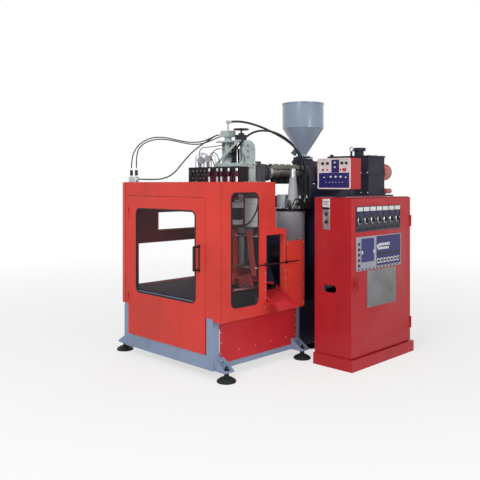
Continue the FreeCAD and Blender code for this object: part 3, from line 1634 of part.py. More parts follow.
def cabinet_door():
    """The cabinet door with the instrument bezels, seven setting dials and a blank plate."""
    step = d.plinth_step
    face = CABINET_DOOR_X
    back = face - d.cabinet_door + d.seat_gap
    front = d.cabinet_front + step
    rear = d.cabinet_rear - step - 3
    low = d.plinth_height + 8
    top = d.cabinet_top - 6
    outline = rectangle((front, low), (rear, top))
    hollow = rectangle((front + 20, low + 20), (rear - 20, top - 20))
    pieces = [
        plate("YZ", [outline], face - SHEET, face),
        plate("YZ", [outline, hollow], back, face - SHEET),
    ]
    bezel = d.bezel
    dials_low = (front + d.dial_bezel_front, d.dial_bezel_bottom)
    dials_high = (dials_low[0] + d.dial_bezel_length, dials_low[1] + d.dial_bezel_height)
    band = rectangle((dials_low[0] + bezel, dials_low[1] + d.dial_band),
                     (dials_high[0] - bezel, dials_high[1] - d.dial_band))
    low_left = (front + d.screen_bezel_front, d.screen_bezel_bottom)
    width = d.screen_bezel_length
    height = d.screen_bezel_height
    screens = [rectangle(low_left, (low_left[0] + width, low_left[1] + height))]
    for across, up, across_end, up_end in ((0.096, 0.242, 0.377, 0.945), (0.422, 0.076, 0.99, 0.976)):
        screens.append(rectangle((low_left[0] + width * across, low_left[1] + height * up),
                                 (low_left[0] + width * across_end, low_left[1] + height * up_end)))
    pieces.append(plate("YZ", [rectangle(dials_low, dials_high), band], face, face + bezel))
    pieces.append(plate("YZ", screens, face, face + bezel))
    blank = (face, front + d.blank_plate_front, d.blank_plate_bottom)
    blank_end = (face + bezel / 2, blank[1] + d.blank_plate_length, blank[2] + d.blank_plate_height)
    pieces.append(block(blank, blank_end))
    count = 7
    pitch = d.dial_bezel_length / count
    for number in range(count):
        y = dials_low[0] + pitch * (number + 0.5)
        pieces.append(rod((face, y, dials_low[1] + d.dial_rise), "X", bezel + 6, d.dial_radius))
    for height in cabinet_hinge_heights():
        axis_x, axis_y = cabinet_hinge()
        start = height - d.hinge_length
        pieces.append(rod((axis_x, axis_y, start), "Z", d.hinge_length - d.seat_gap, d.hinge_radius))
        pieces.append(block((face, axis_y - 24, start), (face + 3, axis_y, height - d.seat_gap)))
    subpart("cabinet_door", fuse(*pieces))


def cabinet_handle():
    """The cabinet's turning T handle on its round rosette."""
    face = CABINET_DOOR_X
    y = d.cabinet_front + d.plinth_step + d.t_handle_inset
    z = d.t_handle_height
    half = d.t_handle_length / 2
    reach = d.t_handle_reach
    pieces = [
        rod((face + d.seat_gap, y, z), "X", 10, 24),
        rod((face + d.seat_gap, y, z), "X", reach - 6, 9),
        block((face + reach - 12, y - 9, z - half), (face + reach, y + 9, z + half)),
    ]
    subpart("cabinet_handle", fuse(*pieces))


def selector(label, x, y, z):
    """A selector knob with a grip bar, turned about Y on a face that looks to -Y."""
    radius = d.knob_radius
    length = d.knob_length
    base = rod((x, y - d.seat_gap - length * 0.5, z), "Y", length * 0.5, radius)
    grip = block((x - radius * 0.3, y - d.seat_gap - length, z - radius * 0.95),
                 (x + radius * 0.3, y - d.seat_gap - length * 0.4, z + radius * 0.95))
    subpart(label, fuse(base, grip))


# ---------------------------------------------------------------- pendant


def pendant_point(across, down):
    """A place on the pendant's face, by its share of the face's width and height."""
    x = d.pendant_left + (d.pendant_right - d.pendant_left) * across
    z = d.pendant_top - (d.pendant_top - d.pendant_bottom) * down
    return x, z


def pendant_centre():
    """Plan place of the pendant's swivel."""
    return (d.pendant_left + d.pendant_right) / 2, (d.pendant_front + d.pendant_rear) / 2


def pendant_post():
    """The flanged post on the cabinet that the pendant turns on."""
    x, y = pendant_centre()
    low = d.cabinet_top
    outline = [
        (0, low), (60, low), (60, low + 10), (24, low + 10), (24, d.pendant_bottom - 12),
        (45, d.pendant_bottom - 12), (45, d.pendant_bottom - d.seat_gap), (0, d.pendant_bottom - d.seat_gap),
    ]
    subpart("pendant_post", turned(outline, (x, y, 0)))


def pendant_box():
    """The operator's box, its face framed by a raised rim and bored for the push buttons."""
    left = d.pendant_left
    right = d.pendant_right
    front = d.pendant_front
    low = d.pendant_bottom
    top = d.pendant_top
    body = block((left, front, low), (right, d.pendant_rear, top))
    rim = plate("XZ", [rectangle((left, low), (right, top)),
                       rectangle((left + 10, low + 10), (right - 10, top - 10))], front - 5, front)
    wells = []
    for across, down in button_places():
        x, z = pendant_point(across, down)
        wells.append(rod((x, front, z), "Y", d.button_travel + 6, d.button_radius + d.running_gap))
    x, z = pendant_point(*STOP_PLACE)
    wells.append(rod((x, front, z), "Y", d.button_travel + 10, d.stop_radius * 0.5 + d.running_gap))
    subpart("pendant_box", cut(fuse(body, rim), *wells))


KNOB_PLACES = ((0.16, 0.16), (0.31, 0.16), (0.75, 0.16), (0.88, 0.16))
STOP_PLACE = (0.82, 0.37)


def button_places():
    """The three push buttons, in a row."""
    return [(across, 0.6) for across in (0.41, 0.56, 0.71)]


def push_buttons():
    """Three push buttons, each in its well."""
    for number, (across, down) in enumerate(button_places(), start=1):
        x, z = pendant_point(across, down)
        start = d.pendant_front - d.button_length
        item = rod((x, start, z), "Y", d.button_length + 5, d.button_radius)
        subpart(f"push_button_{number}", item)


def emergency_stop():
    """The mushroom head of the emergency stop and its stem."""
    x, z = pendant_point(*STOP_PLACE)
    face = d.pendant_front
    stem_start = face - 12
    head = cone((x, face - 24, z), "Y", 12, d.stop_radius * 0.8, d.stop_radius)
    stem = rod((x, stem_start, z), "Y", 12 + 8, d.stop_radius * 0.5)
    subpart("emergency_stop", fuse(head, stem))


# ---------------------------------------------------------------- hoses

BLOW_SUPPLY_ROUTE = [
    (-384, 580, 2427), (-312, 580, 2427), (-236, 622, 2422), (-180, 708, 2402), (-136, 832, 2365),
    (-104, 975, 2314), (-80, 1125, 2252), (-66, 1262, 2172), (-60, 1372, 2060), (-70, 1428, 1915),
    (-78, 1440, 1775), (-78, 1440, 1640),
]
BLOW_RETURN_ROUTE = [
    (-358, 520, 2095), (-290, 520, 2095), (-212, 504, 2136), (-120, 486, 2206), (-25, 500, 2278),
    (30, 580, 2316), (42, 740, 2318), (48, 900, 2284), (38, 1060, 2216), (8, 1210, 2120),
    (-48, 1318, 1988), (-108, 1370, 1815), (-108, 1370, 1640),
]
TERMINAL_LEAD_ROUTE = [
    (-1323, 45, 1925), (-1323, 45, 2015), (-1308, 54, 2118), (-1260, 98, 2222), (-1175, 192, 2290),
    (-1075, 290, 2292), (-965, 392, 2258), (-855, 478, 2232), (-745, 536, 2240), (-645, 565, 2274),
    (-548, 575, 2306), (-455, 575, 2306),
]
SECOND_LEAD_ROUTE = [
    (-1235, 45, 1925), (-1235, 45, 2005), (-1243, 54, 2092), (-1252, 88, 2178), (-1218, 156, 2242),
    (-1140, 240, 2274), (-1046, 326, 2266), (-940, 424, 2234), (-835, 500, 2210), (-735, 556, 2224),
    (-640, 592, 2258), (-545, 600, 2288), (-455, 600, 2288),
]
ROOF_HOSE_ROUTE = [
    (-1219, 45, 1845), (-1135, 45, 1845), (-1040, 95, 1841), (-945, 172, 1846), (-880, 262, 1900),
    (-843, 345, 2012), (-800, 415, 2110), (-725, 482, 2192), (-620, 530, 2256), (-535, 540, 2300),
    (-455, 540, 2300),
]


def hoses():
    """The hoses and leads over the roof, each along its own route."""
    supply_port, return_port = hose_ports()
    terminals = terminal_tops()
    wall = AXIS_X - d.blow_cap / 2
    cap_middle = CYLINDER_TOP + d.blow_cap_height / 2
    lead_ends = ((wall, BLOW_Y - 5, cap_middle + 2), (wall, BLOW_Y + 20, cap_middle - 16))
    elbow = (AXIS_X + d.blow_elbow * 8 / 15, BLOW_Y, PIPE_TOP + d.blow_elbow / 2)
    port_y = BLOW_Y - d.blow_port_reach + d.return_hose_radius
    side_port = (AXIS_X + d.blow_port_half * 3 - 6, port_y, DECK_TOP + d.blow_port_rise)
    block_end = terminals[1][0] + d.terminal_radius + 4
    block_side = (block_end, terminals[1][1], d.cabin_top + d.terminal_radius * 2.5)
    routes = (
        ("blow_supply_hose", BLOW_SUPPLY_ROUTE, elbow, supply_port, d.supply_hose_radius),
        ("blow_return_hose", BLOW_RETURN_ROUTE, side_port, return_port, d.return_hose_radius),
        ("terminal_lead", TERMINAL_LEAD_ROUTE, terminals[0], lead_ends[0], d.lead_radius),
        ("second_lead", SECOND_LEAD_ROUTE, terminals[1], lead_ends[1], d.lead_radius),
        ("roof_hose", ROOF_HOSE_ROUTE, block_side, (wall, BLOW_Y - 40, cap_middle - 4), d.roof_hose_radius),
    )
    for label, route, start, end, radius in routes:
        subpart(label, along_route(label, route, start, end, radius))


base_frame()
levelling_feet()
bed_plate()
front_panel()
left_panel()
right_panel()
side_pane()
roof_panel()
lower_skirts()
discharge_guard()
rear_guard()
discharge_chute()
safety_door()
door_pane()
door_handle()
carriage_rails()
shuttle_cylinder()
clamp_frame()
tie_bars()
clamp_cylinders()
for name, side in (("left", -1), ("right", 1)):
    subpart(f"{name}_platen", platen(side))
    subpart(f"{name}_mould", mould(side))
blow_frame()
blow_cylinder()
blow_pin()
handwheel()
blow_manifold()
die_head()
barrel()
heater_bands()
screw()
gearbox()
drive_motor()
hopper()
hopper_gate()
extruder_base()
accumulator_column()
valve_manifold()
control_cabinet()
cabinet_door()
cabinet_handle()
side_switch_x = d.cabinet_left + d.switch_inset
side_switch_y = d.cabinet_front + d.plinth_step - d.switch_plate
selector("side_switch_upper", side_switch_x, side_switch_y, d.switch_low + d.switch_pitch)
selector("side_switch_lower", side_switch_x, side_switch_y, d.switch_low)
pendant_post()
pendant_box()
for number, (across, down) in enumerate(KNOB_PLACES, start=1):
    knob_x, knob_z = pendant_point(across, down)
    selector(f"pendant_knob_{number}", knob_x, d.pendant_front, knob_z)
emergency_stop()
push_buttons()
hoses()

document.recompute()

for item in document.Objects:
    if "Invalid" in item.State or "Error" in item.State:
        raise SystemExit(f"{item.Name} ({item.Label}) failed: {item.State}")

os.makedirs("parts", exist_ok=True)
for item in subparts:
    shape = item.Shape
    if shape.isNull() or not shape.isValid() or not shape.Solids:
        raise SystemExit(f"{item.Label} has no valid shape")
    shape.exportStep(f"parts/{item.Label}.step")
    box = shape.BoundBox
    print(f"{item.Label}: {len(shape.Solids)} solid(s), {shape.Volume / 1e6:.3f} litres,"
          f" x {box.XMin:.0f}..{box.XMax:.0f}, y {box.YMin:.0f}..{box.YMax:.0f},"
          f" z {box.ZMin:.0f}..{box.ZMax:.0f}")
print(f"{len(subparts)} sub-parts")
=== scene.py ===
import json
import math

import bmesh
import bpy
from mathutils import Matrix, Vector


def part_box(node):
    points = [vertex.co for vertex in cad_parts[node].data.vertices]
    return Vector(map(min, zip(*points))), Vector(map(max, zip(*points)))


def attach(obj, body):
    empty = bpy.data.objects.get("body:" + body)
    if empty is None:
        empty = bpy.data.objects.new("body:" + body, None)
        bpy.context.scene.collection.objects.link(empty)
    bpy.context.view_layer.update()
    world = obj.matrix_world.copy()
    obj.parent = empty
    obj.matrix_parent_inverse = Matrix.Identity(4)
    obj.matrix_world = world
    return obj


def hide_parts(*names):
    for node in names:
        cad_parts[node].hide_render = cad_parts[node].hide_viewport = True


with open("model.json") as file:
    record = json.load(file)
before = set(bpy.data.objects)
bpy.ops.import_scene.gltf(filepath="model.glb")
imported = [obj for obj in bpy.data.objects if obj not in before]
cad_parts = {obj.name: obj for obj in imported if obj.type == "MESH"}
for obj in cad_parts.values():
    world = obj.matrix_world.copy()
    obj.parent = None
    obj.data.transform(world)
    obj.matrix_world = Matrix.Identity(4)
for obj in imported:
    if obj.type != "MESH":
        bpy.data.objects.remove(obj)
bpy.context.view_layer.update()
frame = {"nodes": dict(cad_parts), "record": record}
nodes = frame["nodes"]
record = frame["record"]
slot_of_node = {item["node"]: item["material_slot"] for item in record["subparts"]}
body_of_node = {
    node: body for body, members in record["behaviour"]["bodies"].items() for node in members
}

# The base frame's front right corner on the floor, in the row's frame. Places in millimetres are
# measured from it, with x to the right, y to the rear and z up.
CORNER = Vector((0.401, -1.5855, 0.0))

UP = (0, 0, 1)
DOWN = (0, 0, -1)
RIGHT = (1, 0, 0)
LEFT = (-1, 0, 0)
FRONT = (0, -1, 0)
REAR = (0, 1, 0)


def at(x, y, z):
    """A place in millimetres from the corner, as metres in the row's frame."""
    return CORNER + Vector((x, y, z)) / 1000


def millimetres(node):
    """A node's lowest and highest corners in millimetres from the corner."""
    return [(place - CORNER) * 1000 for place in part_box(node)]


# The faces and axes that detail is placed from, most of them read from the nodes.
cabin_low, cabin_high = millimetres("left_panel")
barrel_low, barrel_high = millimetres("barrel")
pendant_low, pendant_high = millimetres("pendant_box")
hopper_low, hopper_high = millimetres("hopper")
LEFT_WALL = cabin_low.x
CABIN_REAR = cabin_high.y
BASE_LEFT = millimetres("bed_plate")[0].x
SKIRT = millimetres("lower_skirts")[1].x
WALL = millimetres("right_panel")[1].x
ROOF = millimetres("blow_frame")[0].z
DECK = 2005
AXIS_X = (barrel_low.x + barrel_high.x) / 2
BARREL_Z = (barrel_low.z + barrel_high.z) / 2
CABINET_LEFT = 1117
FACE = millimetres("control_cabinet")[1].x - 26
PENDANT_FACE = pendant_low.y + 5
COLUMN = (-265, 1399)
RISER = (-200, 1369)

# ---------------------------------------------------------------- materials

MATERIALS = {}


def new_material(name):
    """A material under its name, with its node tree and its shader."""
    material = bpy.data.materials.new(name)
    material.use_nodes = True
    MATERIALS[name] = material
    return material.node_tree, material.node_tree.nodes["Principled BSDF"]


def add(tree, kind, **values):
    node = tree.nodes.new(kind)
    for key, value in values.items():
        if key in node.inputs:
            node.inputs[key].default_value = value
        else:
            setattr(node, key, value)
    return node


def position(tree, stretch=(1, 1, 1)):
    """Object coordinates, stretched, so that grain and dirt have one scale everywhere."""
    coordinates = add(tree, "ShaderNodeTexCoord")
    mapping = add(tree, "ShaderNodeMapping", Scale=stretch)
    tree.links.new(coordinates.outputs["Object"], mapping.inputs["Vector"])
    return mapping.outputs["Vector"]


def noise(tree, vector, scale, detail, roughness=0.55):
    node = add(tree, "ShaderNodeTexNoise", Scale=scale, Detail=detail, Roughness=roughness)
    tree.links.new(vector, node.inputs["Vector"])
    return node.outputs["Fac"]


def ramp(tree, value, stops):
    node = add(tree, "ShaderNodeValToRGB")
    band = node.color_ramp
    while len(band.elements) < len(stops):
        band.elements.new(0.5)
    for element, (place, colour) in zip(band.elements, stops):
        element.position = place
        element.color = (*colour, 1)
    tree.links.new(value, node.inputs["Fac"])
    return node.outputs["Color"]


def grey(tree, value, *limits):
    """A value spread over another range: its lowest and highest, then those that come out."""
    node = add(tree, "ShaderNodeMapRange")
    for name, limit in zip(("From Min", "From Max", "To Min", "To Max"), limits):
        node.inputs[name].default_value = limit
    tree.links.new(value, node.inputs["Value"])
    return node.outputs["Result"]


def bump(tree, shader, height, strength, distance):
    node = add(tree, "ShaderNodeBump", Strength=strength, Distance=distance)
    tree.links.new(height, node.inputs["Height"])
    tree.links.new(node.outputs["Normal"], shader.inputs["Normal"])


def shade(colour, factor):
    return tuple(min(1.0, channel * factor) for channel in colour)


def edge_mask(tree, radius):
    """About 1 on outer edges: how far the rounded normal turns from the true one."""
    bevel = add(tree, "ShaderNodeBevel", Radius=radius, samples=4)
    geometry = add(tree, "ShaderNodeNewGeometry")
    dot = add(tree, "ShaderNodeVectorMath", operation="DOT_PRODUCT")
    tree.links.new(bevel.outputs["Normal"], dot.inputs[0])
    tree.links.new(geometry.outputs["Normal"], dot.inputs[1])
    return grey(tree, dot.outputs["Value"], 0.995, 0.80, 0.0, 1.0)


def mixed(tree, factor, under, colour):
    """A colour laid over what is under it."""
    node = add(tree, "ShaderNodeMix", data_type="RGBA")
    tree.links.new(factor, node.inputs[0])
    tree.links.new(under, node.inputs[6])
    node.inputs[7].default_value = (*colour, 1)
    return node.outputs[2]


def combined(tree, operation, first, second):
    node = add(tree, "ShaderNodeMath", operation=operation)
    tree.links.new(first, node.inputs[0])
    tree.links.new(second, node.inputs[1])
    return node.outputs["Value"]


def paint(name, colour, roughness=0.38, edge_wear_and_highlight=0.35, dirt=0.25, peel=0.12, gloss=0.08, shine=0.20):
    """Sprayed paint: slow colour drift, orange peel, edges lightened in patches, partly worn paint and partly
    painted highlight, and dark dust streaks.
    """
    tree, shader = new_material(name)
    place = position(tree)
    drift = noise(tree, place, 2.2, 5)
    base = ramp(tree, drift, [(0.30, shade(colour, 0.88)), (0.52, colour), (0.75, shade(colour, 1.07))])
    edges = edge_mask(tree, 0.004)
    spots = grey(tree, noise(tree, place, 14, 6, 0.7), 0.48, 0.62, 0.0, edge_wear_and_highlight)
    # Paler edges in patches: partly worn paint, partly a painted highlight.
    worn_and_highlit_edge_colour = shade(colour, 1.5) if max(colour) < 0.5 else (0.86, 0.55, 0.45)
    with_worn_and_lit_edges = mixed(tree, combined(tree, "MULTIPLY", edges, spots), base, worn_and_highlit_edge_colour)
    streaks = noise(tree, position(tree, (1, 1, 0.25)), 9, 8, 0.65)
    dusty = mixed(tree, grey(tree, streaks, 0.52, 0.82, 0.0, dirt), with_worn_and_lit_edges, shade(colour, 0.45))
    tree.links.new(dusty, shader.inputs["Base Color"])
    sheen = grey(tree, noise(tree, place, 6, 6), 0.3, 0.7, roughness - 0.06, roughness + 0.10)
    tree.links.new(sheen, shader.inputs["Roughness"])
    bump(tree, shader, noise(tree, place, 420, 2), peel, 0.0006)
    shader.inputs["Specular IOR Level"].default_value = shine
    shader.inputs["Coat Weight"].default_value = gloss
    shader.inputs["Coat Roughness"].default_value = 0.16


def metal(name, colour, roughness, stretch, grain, stain=None):
    """Bare metal with machining lines along one direction and slow staining."""
    tree, shader = new_material(name)
    lines = noise(tree, position(tree, stretch), 60, 5, 0.7)
    cloud = noise(tree, position(tree), 5, 6, 0.6)
    stops = [(0.32, stain or shade(colour, 0.72)), (0.55, colour), (0.8, shade(colour, 1.08))]
    tree.links.new(ramp(tree, cloud, stops), shader.inputs["Base Color"])
    sheen = grey(tree, lines, 0.3, 0.7, roughness - 0.06, roughness + 0.12)
    tree.links.new(sheen, shader.inputs["Roughness"])
    shader.inputs["Metallic"].default_value = 1.0
    bump(tree, shader, lines, grain, 0.0004)


def plastic(name, colour, roughness=0.35, texture=0.05, scale=700):
    """Moulded plastic: fine spark texture and a faint handling sheen."""
    tree, shader = new_material(name)
    place = position(tree)
    base = ramp(tree, noise(tree, place, 25, 4), [(0.3, shade(colour, 0.86)), (0.7, shade(colour, 1.06))])
    tree.links.new(base, shader.inputs["Base Color"])
    sheen = grey(tree, noise(tree, place, 40, 3), 0.3, 0.7, roughness - 0.05, roughness + 0.08)
    tree.links.new(sheen, shader.inputs["Roughness"])
    bump(tree, shader, noise(tree, place, scale, 2), texture, 0.0003)
    shader.inputs["Specular IOR Level"].default_value = 0.3


def clear(name, tint, alpha):
    """Clear acrylic sheet with faint scratches."""
    tree, shader = new_material(name)
    shader.inputs["Base Color"].default_value = (*tint, 1)
    shader.inputs["Alpha"].default_value = alpha
    shader.inputs["Specular IOR Level"].default_value = 0.12
    scratches = noise(tree, position(tree, (1, 6, 1)), 35, 6, 0.7)
    tree.links.new(grey(tree, scratches, 0.4, 0.8, 0.04, 0.2), shader.inputs["Roughness"])


paint("base_grey", (0.24, 0.31, 0.45), 0.42, 0.5, 0.3)
paint("cabin_red", (0.65, 0.047, 0.034), 0.36)
paint("skirt_red", (0.54, 0.024, 0.032), 0.38)
paint("bed_dark", (0.030, 0.014, 0.024), 0.70, 0.4, 0.2, gloss=0.0, shine=0.04)
plastic("foot_black", (0.012, 0.016, 0.016), 0.6, 0.25, 260)
clear("clear_pane", (0.5, 0.55, 0.55), 0.02)
plastic("handle_black", (0.035, 0.006, 0.006), 0.3)
metal("steel", (0.56, 0.57, 0.58), 0.34, (1, 8, 1), 0.2)
metal("chrome", (0.74, 0.75, 0.77), 0.14, (1, 1, 10), 0.05)
metal("mould_alloy", (0.24, 0.24, 0.26), 0.38, (1, 1, 12), 0.25)
paint("unit_green", (0.42, 0.51, 0.50), 0.38, 0.4, 0.25)
paint("valve_black", (0.016, 0.014, 0.018), 0.42, 0.5, 0.2, gloss=0.02, shine=0.12)
metal("band_steel", (0.26, 0.23, 0.22), 0.40, (1, 1, 10), 0.25, (0.12, 0.08, 0.07))
paint("head_grey", (0.56, 0.58, 0.62), 0.45, 0.4, 0.4)
paint("gear_navy", (0.034, 0.030, 0.052), 0.45, 0.5, 0.3, 0.3, gloss=0.02, shine=0.14)
paint("motor_red", (0.50, 0.11, 0.075), 0.30, gloss=0.4)
paint("hopper_blue", (0.25, 0.32, 0.42), 0.24, 0.3, 0.15, gloss=0.7)
paint("base_navy", (0.014, 0.018, 0.046), 0.40, 0.5, 0.25, gloss=0.02, shine=0.14)
paint("column_grey", (0.57, 0.59, 0.66), 0.36, 0.4, 0.3)
paint("cabinet_red", (0.44, 0.018, 0.024), 0.34)
plastic("knob_black", (0.012, 0.012, 0.015), 0.25)
plastic("stop_red", (0.62, 0.015, 0.012), 0.25)
plastic("button_white", (0.75, 0.76, 0.74), 0.3)
plastic("hose_black", (0.014, 0.017, 0.020), 0.42, 0.3, 180)
# A darker red for the cabin's inside faces and undersides: partly a darker paint, partly painted shade.
paint("interior_red_painted_shade", (0.15, 0.010, 0.022), 0.55, 0.3, 0.4, gloss=0.0, shine=0.12)
plastic("window_rubber", (0.010, 0.010, 0.012), 0.5, 0.2, 240)
paint("bezel_grey", (0.34, 0.34, 0.40), 0.35, 0.2, 0.15)
plastic("instrument_black", (0.025, 0.022, 0.040), 0.35)
metal("blank_plate", (0.22, 0.22, 0.23), 0.42, (1, 1, 14), 0.2)
plastic("screen_blue", (0.020, 0.020, 0.155), 0.18, 0.01)
plastic("panel_navy", (0.022, 0.018, 0.130), 0.30, 0.03)
plastic("panel_cream", (0.70, 0.62, 0.62), 0.35, 0.03)
plastic("key_white", (0.72, 0.72, 0.74), 0.32, 0.03)
plastic("clear_tube", (0.55, 0.60, 0.60), 0.15, 0.02)
paint("shield_white", (0.78, 0.77, 0.80), 0.5, 0.2, 0.3)
plastic("sight_amber", (0.60, 0.22, 0.03), 0.12, 0.02)
paint("coil_purple", (0.085, 0.010, 0.030), 0.35, 0.2, 0.2)
plastic("tube_smoke", (0.10, 0.11, 0.12), 0.25, 0.02)
plastic("water_orange", (0.62, 0.085, 0.020), 0.35, 0.10, 300)
paint("guard_olive", (0.25, 0.25, 0.21), 0.45, 0.5, 0.4)
paint("head_iron", (0.085, 0.082, 0.090), 0.45, 0.5, 0.4, gloss=0.02, shine=0.2)
metal("conduit_silver", (0.62, 0.64, 0.66), 0.28, (1, 1, 2), 0.2)

# ---------------------------------------------------------------- the CAD's own forms


def in_scene(name, data):
    """An object in the scene that shows the data."""
    item = bpy.data.objects.new(name, data)
    bpy.context.scene.collection.objects.link(item)
    return item


def finish_mesh(mesh, name, slot, body, bevel):
    """Makes a piece of a bmesh: material, rounded edges, smooth shading by angle, and its body."""
    data = bpy.data.meshes.new(name)
    mesh.normal_update()
    mesh.to_mesh(data)
    mesh.free()
    made = in_scene(name, data)
    data.materials.append(MATERIALS[slot])
    if bevel:
        modifier = made.modifiers.new("Bevel", "BEVEL")
        modifier.width = bevel
        modifier.segments = 2
        modifier.limit_method = "ANGLE"
        modifier.angle_limit = math.radians(32)
    for polygon in data.polygons:
        polygon.use_smooth = True
    data.set_sharp_from_angle(angle=math.radians(40))
    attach(made, body)
    return made


# How far edges are rounded, in metres. Thin sheet takes less than half its thickness.
SHEETS = (
    "front_panel", "left_panel", "right_panel", "roof_panel", "control_cabinet", "cabinet_door", "hopper",
    "lower_skirts", "rear_guard", "safety_door", "discharge_guard", "discharge_chute",
)
BEVELS = dict.fromkeys(SHEETS, 0.0012) | {
    "base_frame": 0.004, "gearbox": 0.006, "left_mould": 0.003, "right_mould": 0.003,
    "pendant_box": 0.004, "clamp_frame": 0.003, "extruder_base": 0.003, "blow_frame": 0.002,
    "blow_manifold": 0.003,
}


def on_door_plates(place):
    """Whether a face is on the plates that stand on the cabinet's door."""
    return place.x > FACE + 0.2 and 1150 < place.y < 2050


def on_riser(place):
    """Whether a face is on the bright riser of the column."""
    return math.hypot(place.x - RISER[0], place.y - RISER[1]) < 85 and place.z > 1560


# The parts of nodes that have another finish: the node, a test of a face's place in millimetres and
# its normal, and the finish. The first test that holds counts.
SECOND_FINISHES = (
    # The faces given interior red below are inside faces and the roof's underside: partly a darker paint,
    # partly painted shade.
    ("left_panel", lambda place, normal: normal.x > 0.5 or normal.y < -0.5 and place.y > 900, "interior_red_painted_shade"),
    ("front_panel", lambda place, normal: normal.y > 0.5, "interior_red_painted_shade"),
    ("discharge_guard", lambda place, normal: place.x > 127, "handle_black"),
    ("discharge_guard", lambda place, normal: normal.x < -0.5, "interior_red_painted_shade"),
    ("right_panel", lambda place, normal: normal.x < -0.5, "interior_red_painted_shade"),
    ("rear_guard", lambda place, normal: normal.x < -0.5, "interior_red_painted_shade"),
    ("roof_panel", lambda place, normal: normal.z < -0.5, "interior_red_painted_shade"),
    ("roof_panel", lambda place, normal: place.z > ROOF + 1, "conduit_silver"),
    ("safety_door", lambda place, normal: normal.y > 0.5, "interior_red_painted_shade"),
    ("blow_manifold", lambda place, normal: place.z > 1966, "conduit_silver"),
    ("hopper", lambda place, normal: place.z < 2112, "gear_navy"),
    ("die_head", lambda place, normal: place.z > 1645, "head_iron"),
    ("valve_manifold", lambda place, normal: on_riser(place), "conduit_silver"),
    ("valve_manifold", lambda place, normal: place.x < -255 and place.z > 1531, "column_grey"),
    ("heater_bands", lambda place, normal: place.z > 1995, "guard_olive"),
    ("pendant_post", lambda place, normal: True, "gear_navy"),
    ("cabinet_handle", lambda place, normal: True, "cabinet_red"),
    ("clamp_frame", lambda place, normal: place.x > -140, "base_navy"),
    ("base_frame", lambda place, normal: normal.z > 0.5 and place.z > 600, "bed_dark"),
    ("cabinet_door", lambda place, normal: on_door_plates(place) and place.z > 1385, "instrument_black"),
    ("cabinet_door", lambda place, normal: on_door_plates(place) and place.z > 945, "bezel_grey"),
    ("cabinet_door", lambda place, normal: on_door_plates(place), "blank_plate"),
    ("control_cabinet", lambda place, normal: normal.x > 0.5 and 325 < place.x < 340 and place.z > 150,
     "blank_plate"),
    ("control_cabinet", lambda place, normal: place.y < 1122.5 and 1340 < place.z < 1655
     and 385 < place.x < 485, "conduit_silver"),
)


def dress(node):
    """The node's own form with its flat facets joined and its edges rounded."""
    mesh = bmesh.new()
    mesh.from_mesh(nodes[node].data)
    bmesh.ops.remove_doubles(mesh, verts=mesh.verts, dist=1e-6)
    bmesh.ops.dissolve_limit(mesh, angle_limit=math.radians(0.6), verts=mesh.verts, edges=mesh.edges)
    mesh.normal_update()
    rules = [(holds, finish) for name, holds, finish in SECOND_FINISHES if name == node]
    others = []
    for face in mesh.faces:
        place = (face.calc_center_median() - CORNER) * 1000
        other = next((finish for holds, finish in rules if holds(place, face.normal)), None)
        if other:
            if other not in others:
                others.append(other)
            face.material_index = others.index(other) + 1
    made = finish_mesh(mesh, "show_" + node, slot_of_node[node], body_of_node[node],
                       BEVELS.get(node, 0.0015))
    for other in others:
        made.data.materials.append(MATERIALS[other])
    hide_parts(node)


# ---------------------------------------------------------------- hoses and pipes

# Each free hose's radius and length in metres, and its route in millimetres.
ROUTES = {
    "blow_supply_hose": (0.011, 1.459, [
        (-384, 580, 2427), (-312, 580, 2427), (-236, 622, 2422), (-180, 708, 2402), (-136, 832, 2365),
        (-104, 975, 2314), (-80, 1125, 2252), (-66, 1262, 2172), (-60, 1372, 2060), (-70, 1428, 1915),
        (-78, 1440, 1775), (-78, 1440, 1640),
    ]),
    "blow_return_hose": (0.010, 1.705, [
        (-358, 520, 2095), (-290, 520, 2095), (-212, 504, 2136), (-120, 486, 2206), (-25, 500, 2278),
        (30, 580, 2316), (42, 740, 2318), (48, 900, 2284), (38, 1060, 2216), (8, 1210, 2120),
        (-48, 1318, 1988), (-108, 1370, 1815), (-108, 1370, 1640),
    ]),
    "terminal_lead": (0.006, 1.317, [
        (-1323, 45, 1925), (-1323, 45, 2015), (-1308, 54, 2118), (-1260, 98, 2222), (-1175, 192, 2290),
        (-1075, 290, 2292), (-965, 392, 2258), (-855, 478, 2232), (-745, 536, 2240), (-645, 565, 2274),
        (-548, 575, 2306), (-455, 575, 2306),
    ]),
    "second_lead": (0.006, 1.290, [
        (-1235, 45, 1925), (-1235, 45, 2005), (-1243, 54, 2092), (-1252, 88, 2178), (-1218, 156, 2242),
        (-1140, 240, 2274), (-1046, 326, 2266), (-940, 424, 2234), (-835, 500, 2210), (-735, 556, 2224),
        (-640, 592, 2258), (-545, 600, 2288), (-455, 600, 2288),
    ]),
    "roof_hose": (0.007, 1.138, [
        (-1219, 45, 1845), (-1135, 45, 1845), (-1040, 95, 1841), (-945, 172, 1846), (-880, 262, 1900),
        (-843, 345, 2012), (-800, 415, 2110), (-725, 482, 2192), (-620, 530, 2256), (-535, 540, 2300),
        (-455, 540, 2300),
    ]),
}


def round_curve(name, points, radius, order, sides, steps):
    """A round curve, its radius in metres, on a smooth line through places in millimetres."""
    curve = bpy.data.curves.new(name, "CURVE")
    curve.dimensions = "3D"
    curve.bevel_depth = radius
    curve.bevel_resolution = sides
    curve.resolution_u = steps
    curve.use_fill_caps = True
    spline = curve.splines.new("NURBS")
    spline.points.add(len(points) - 1)
    for point, place in zip(spline.points, points):
        point.co = (*at(*place), 1)
    spline.order_u = order
    spline.use_endpoint_u = True
    return in_scene(name, curve)


def hose(node, radius, route):
    """A free hose on its route."""
    made = round_curve("show_" + node, route, radius, 3, 5, 12)
    made.data.materials.append(MATERIALS["hose_black"])
    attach(made, "machine")
    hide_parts(node)


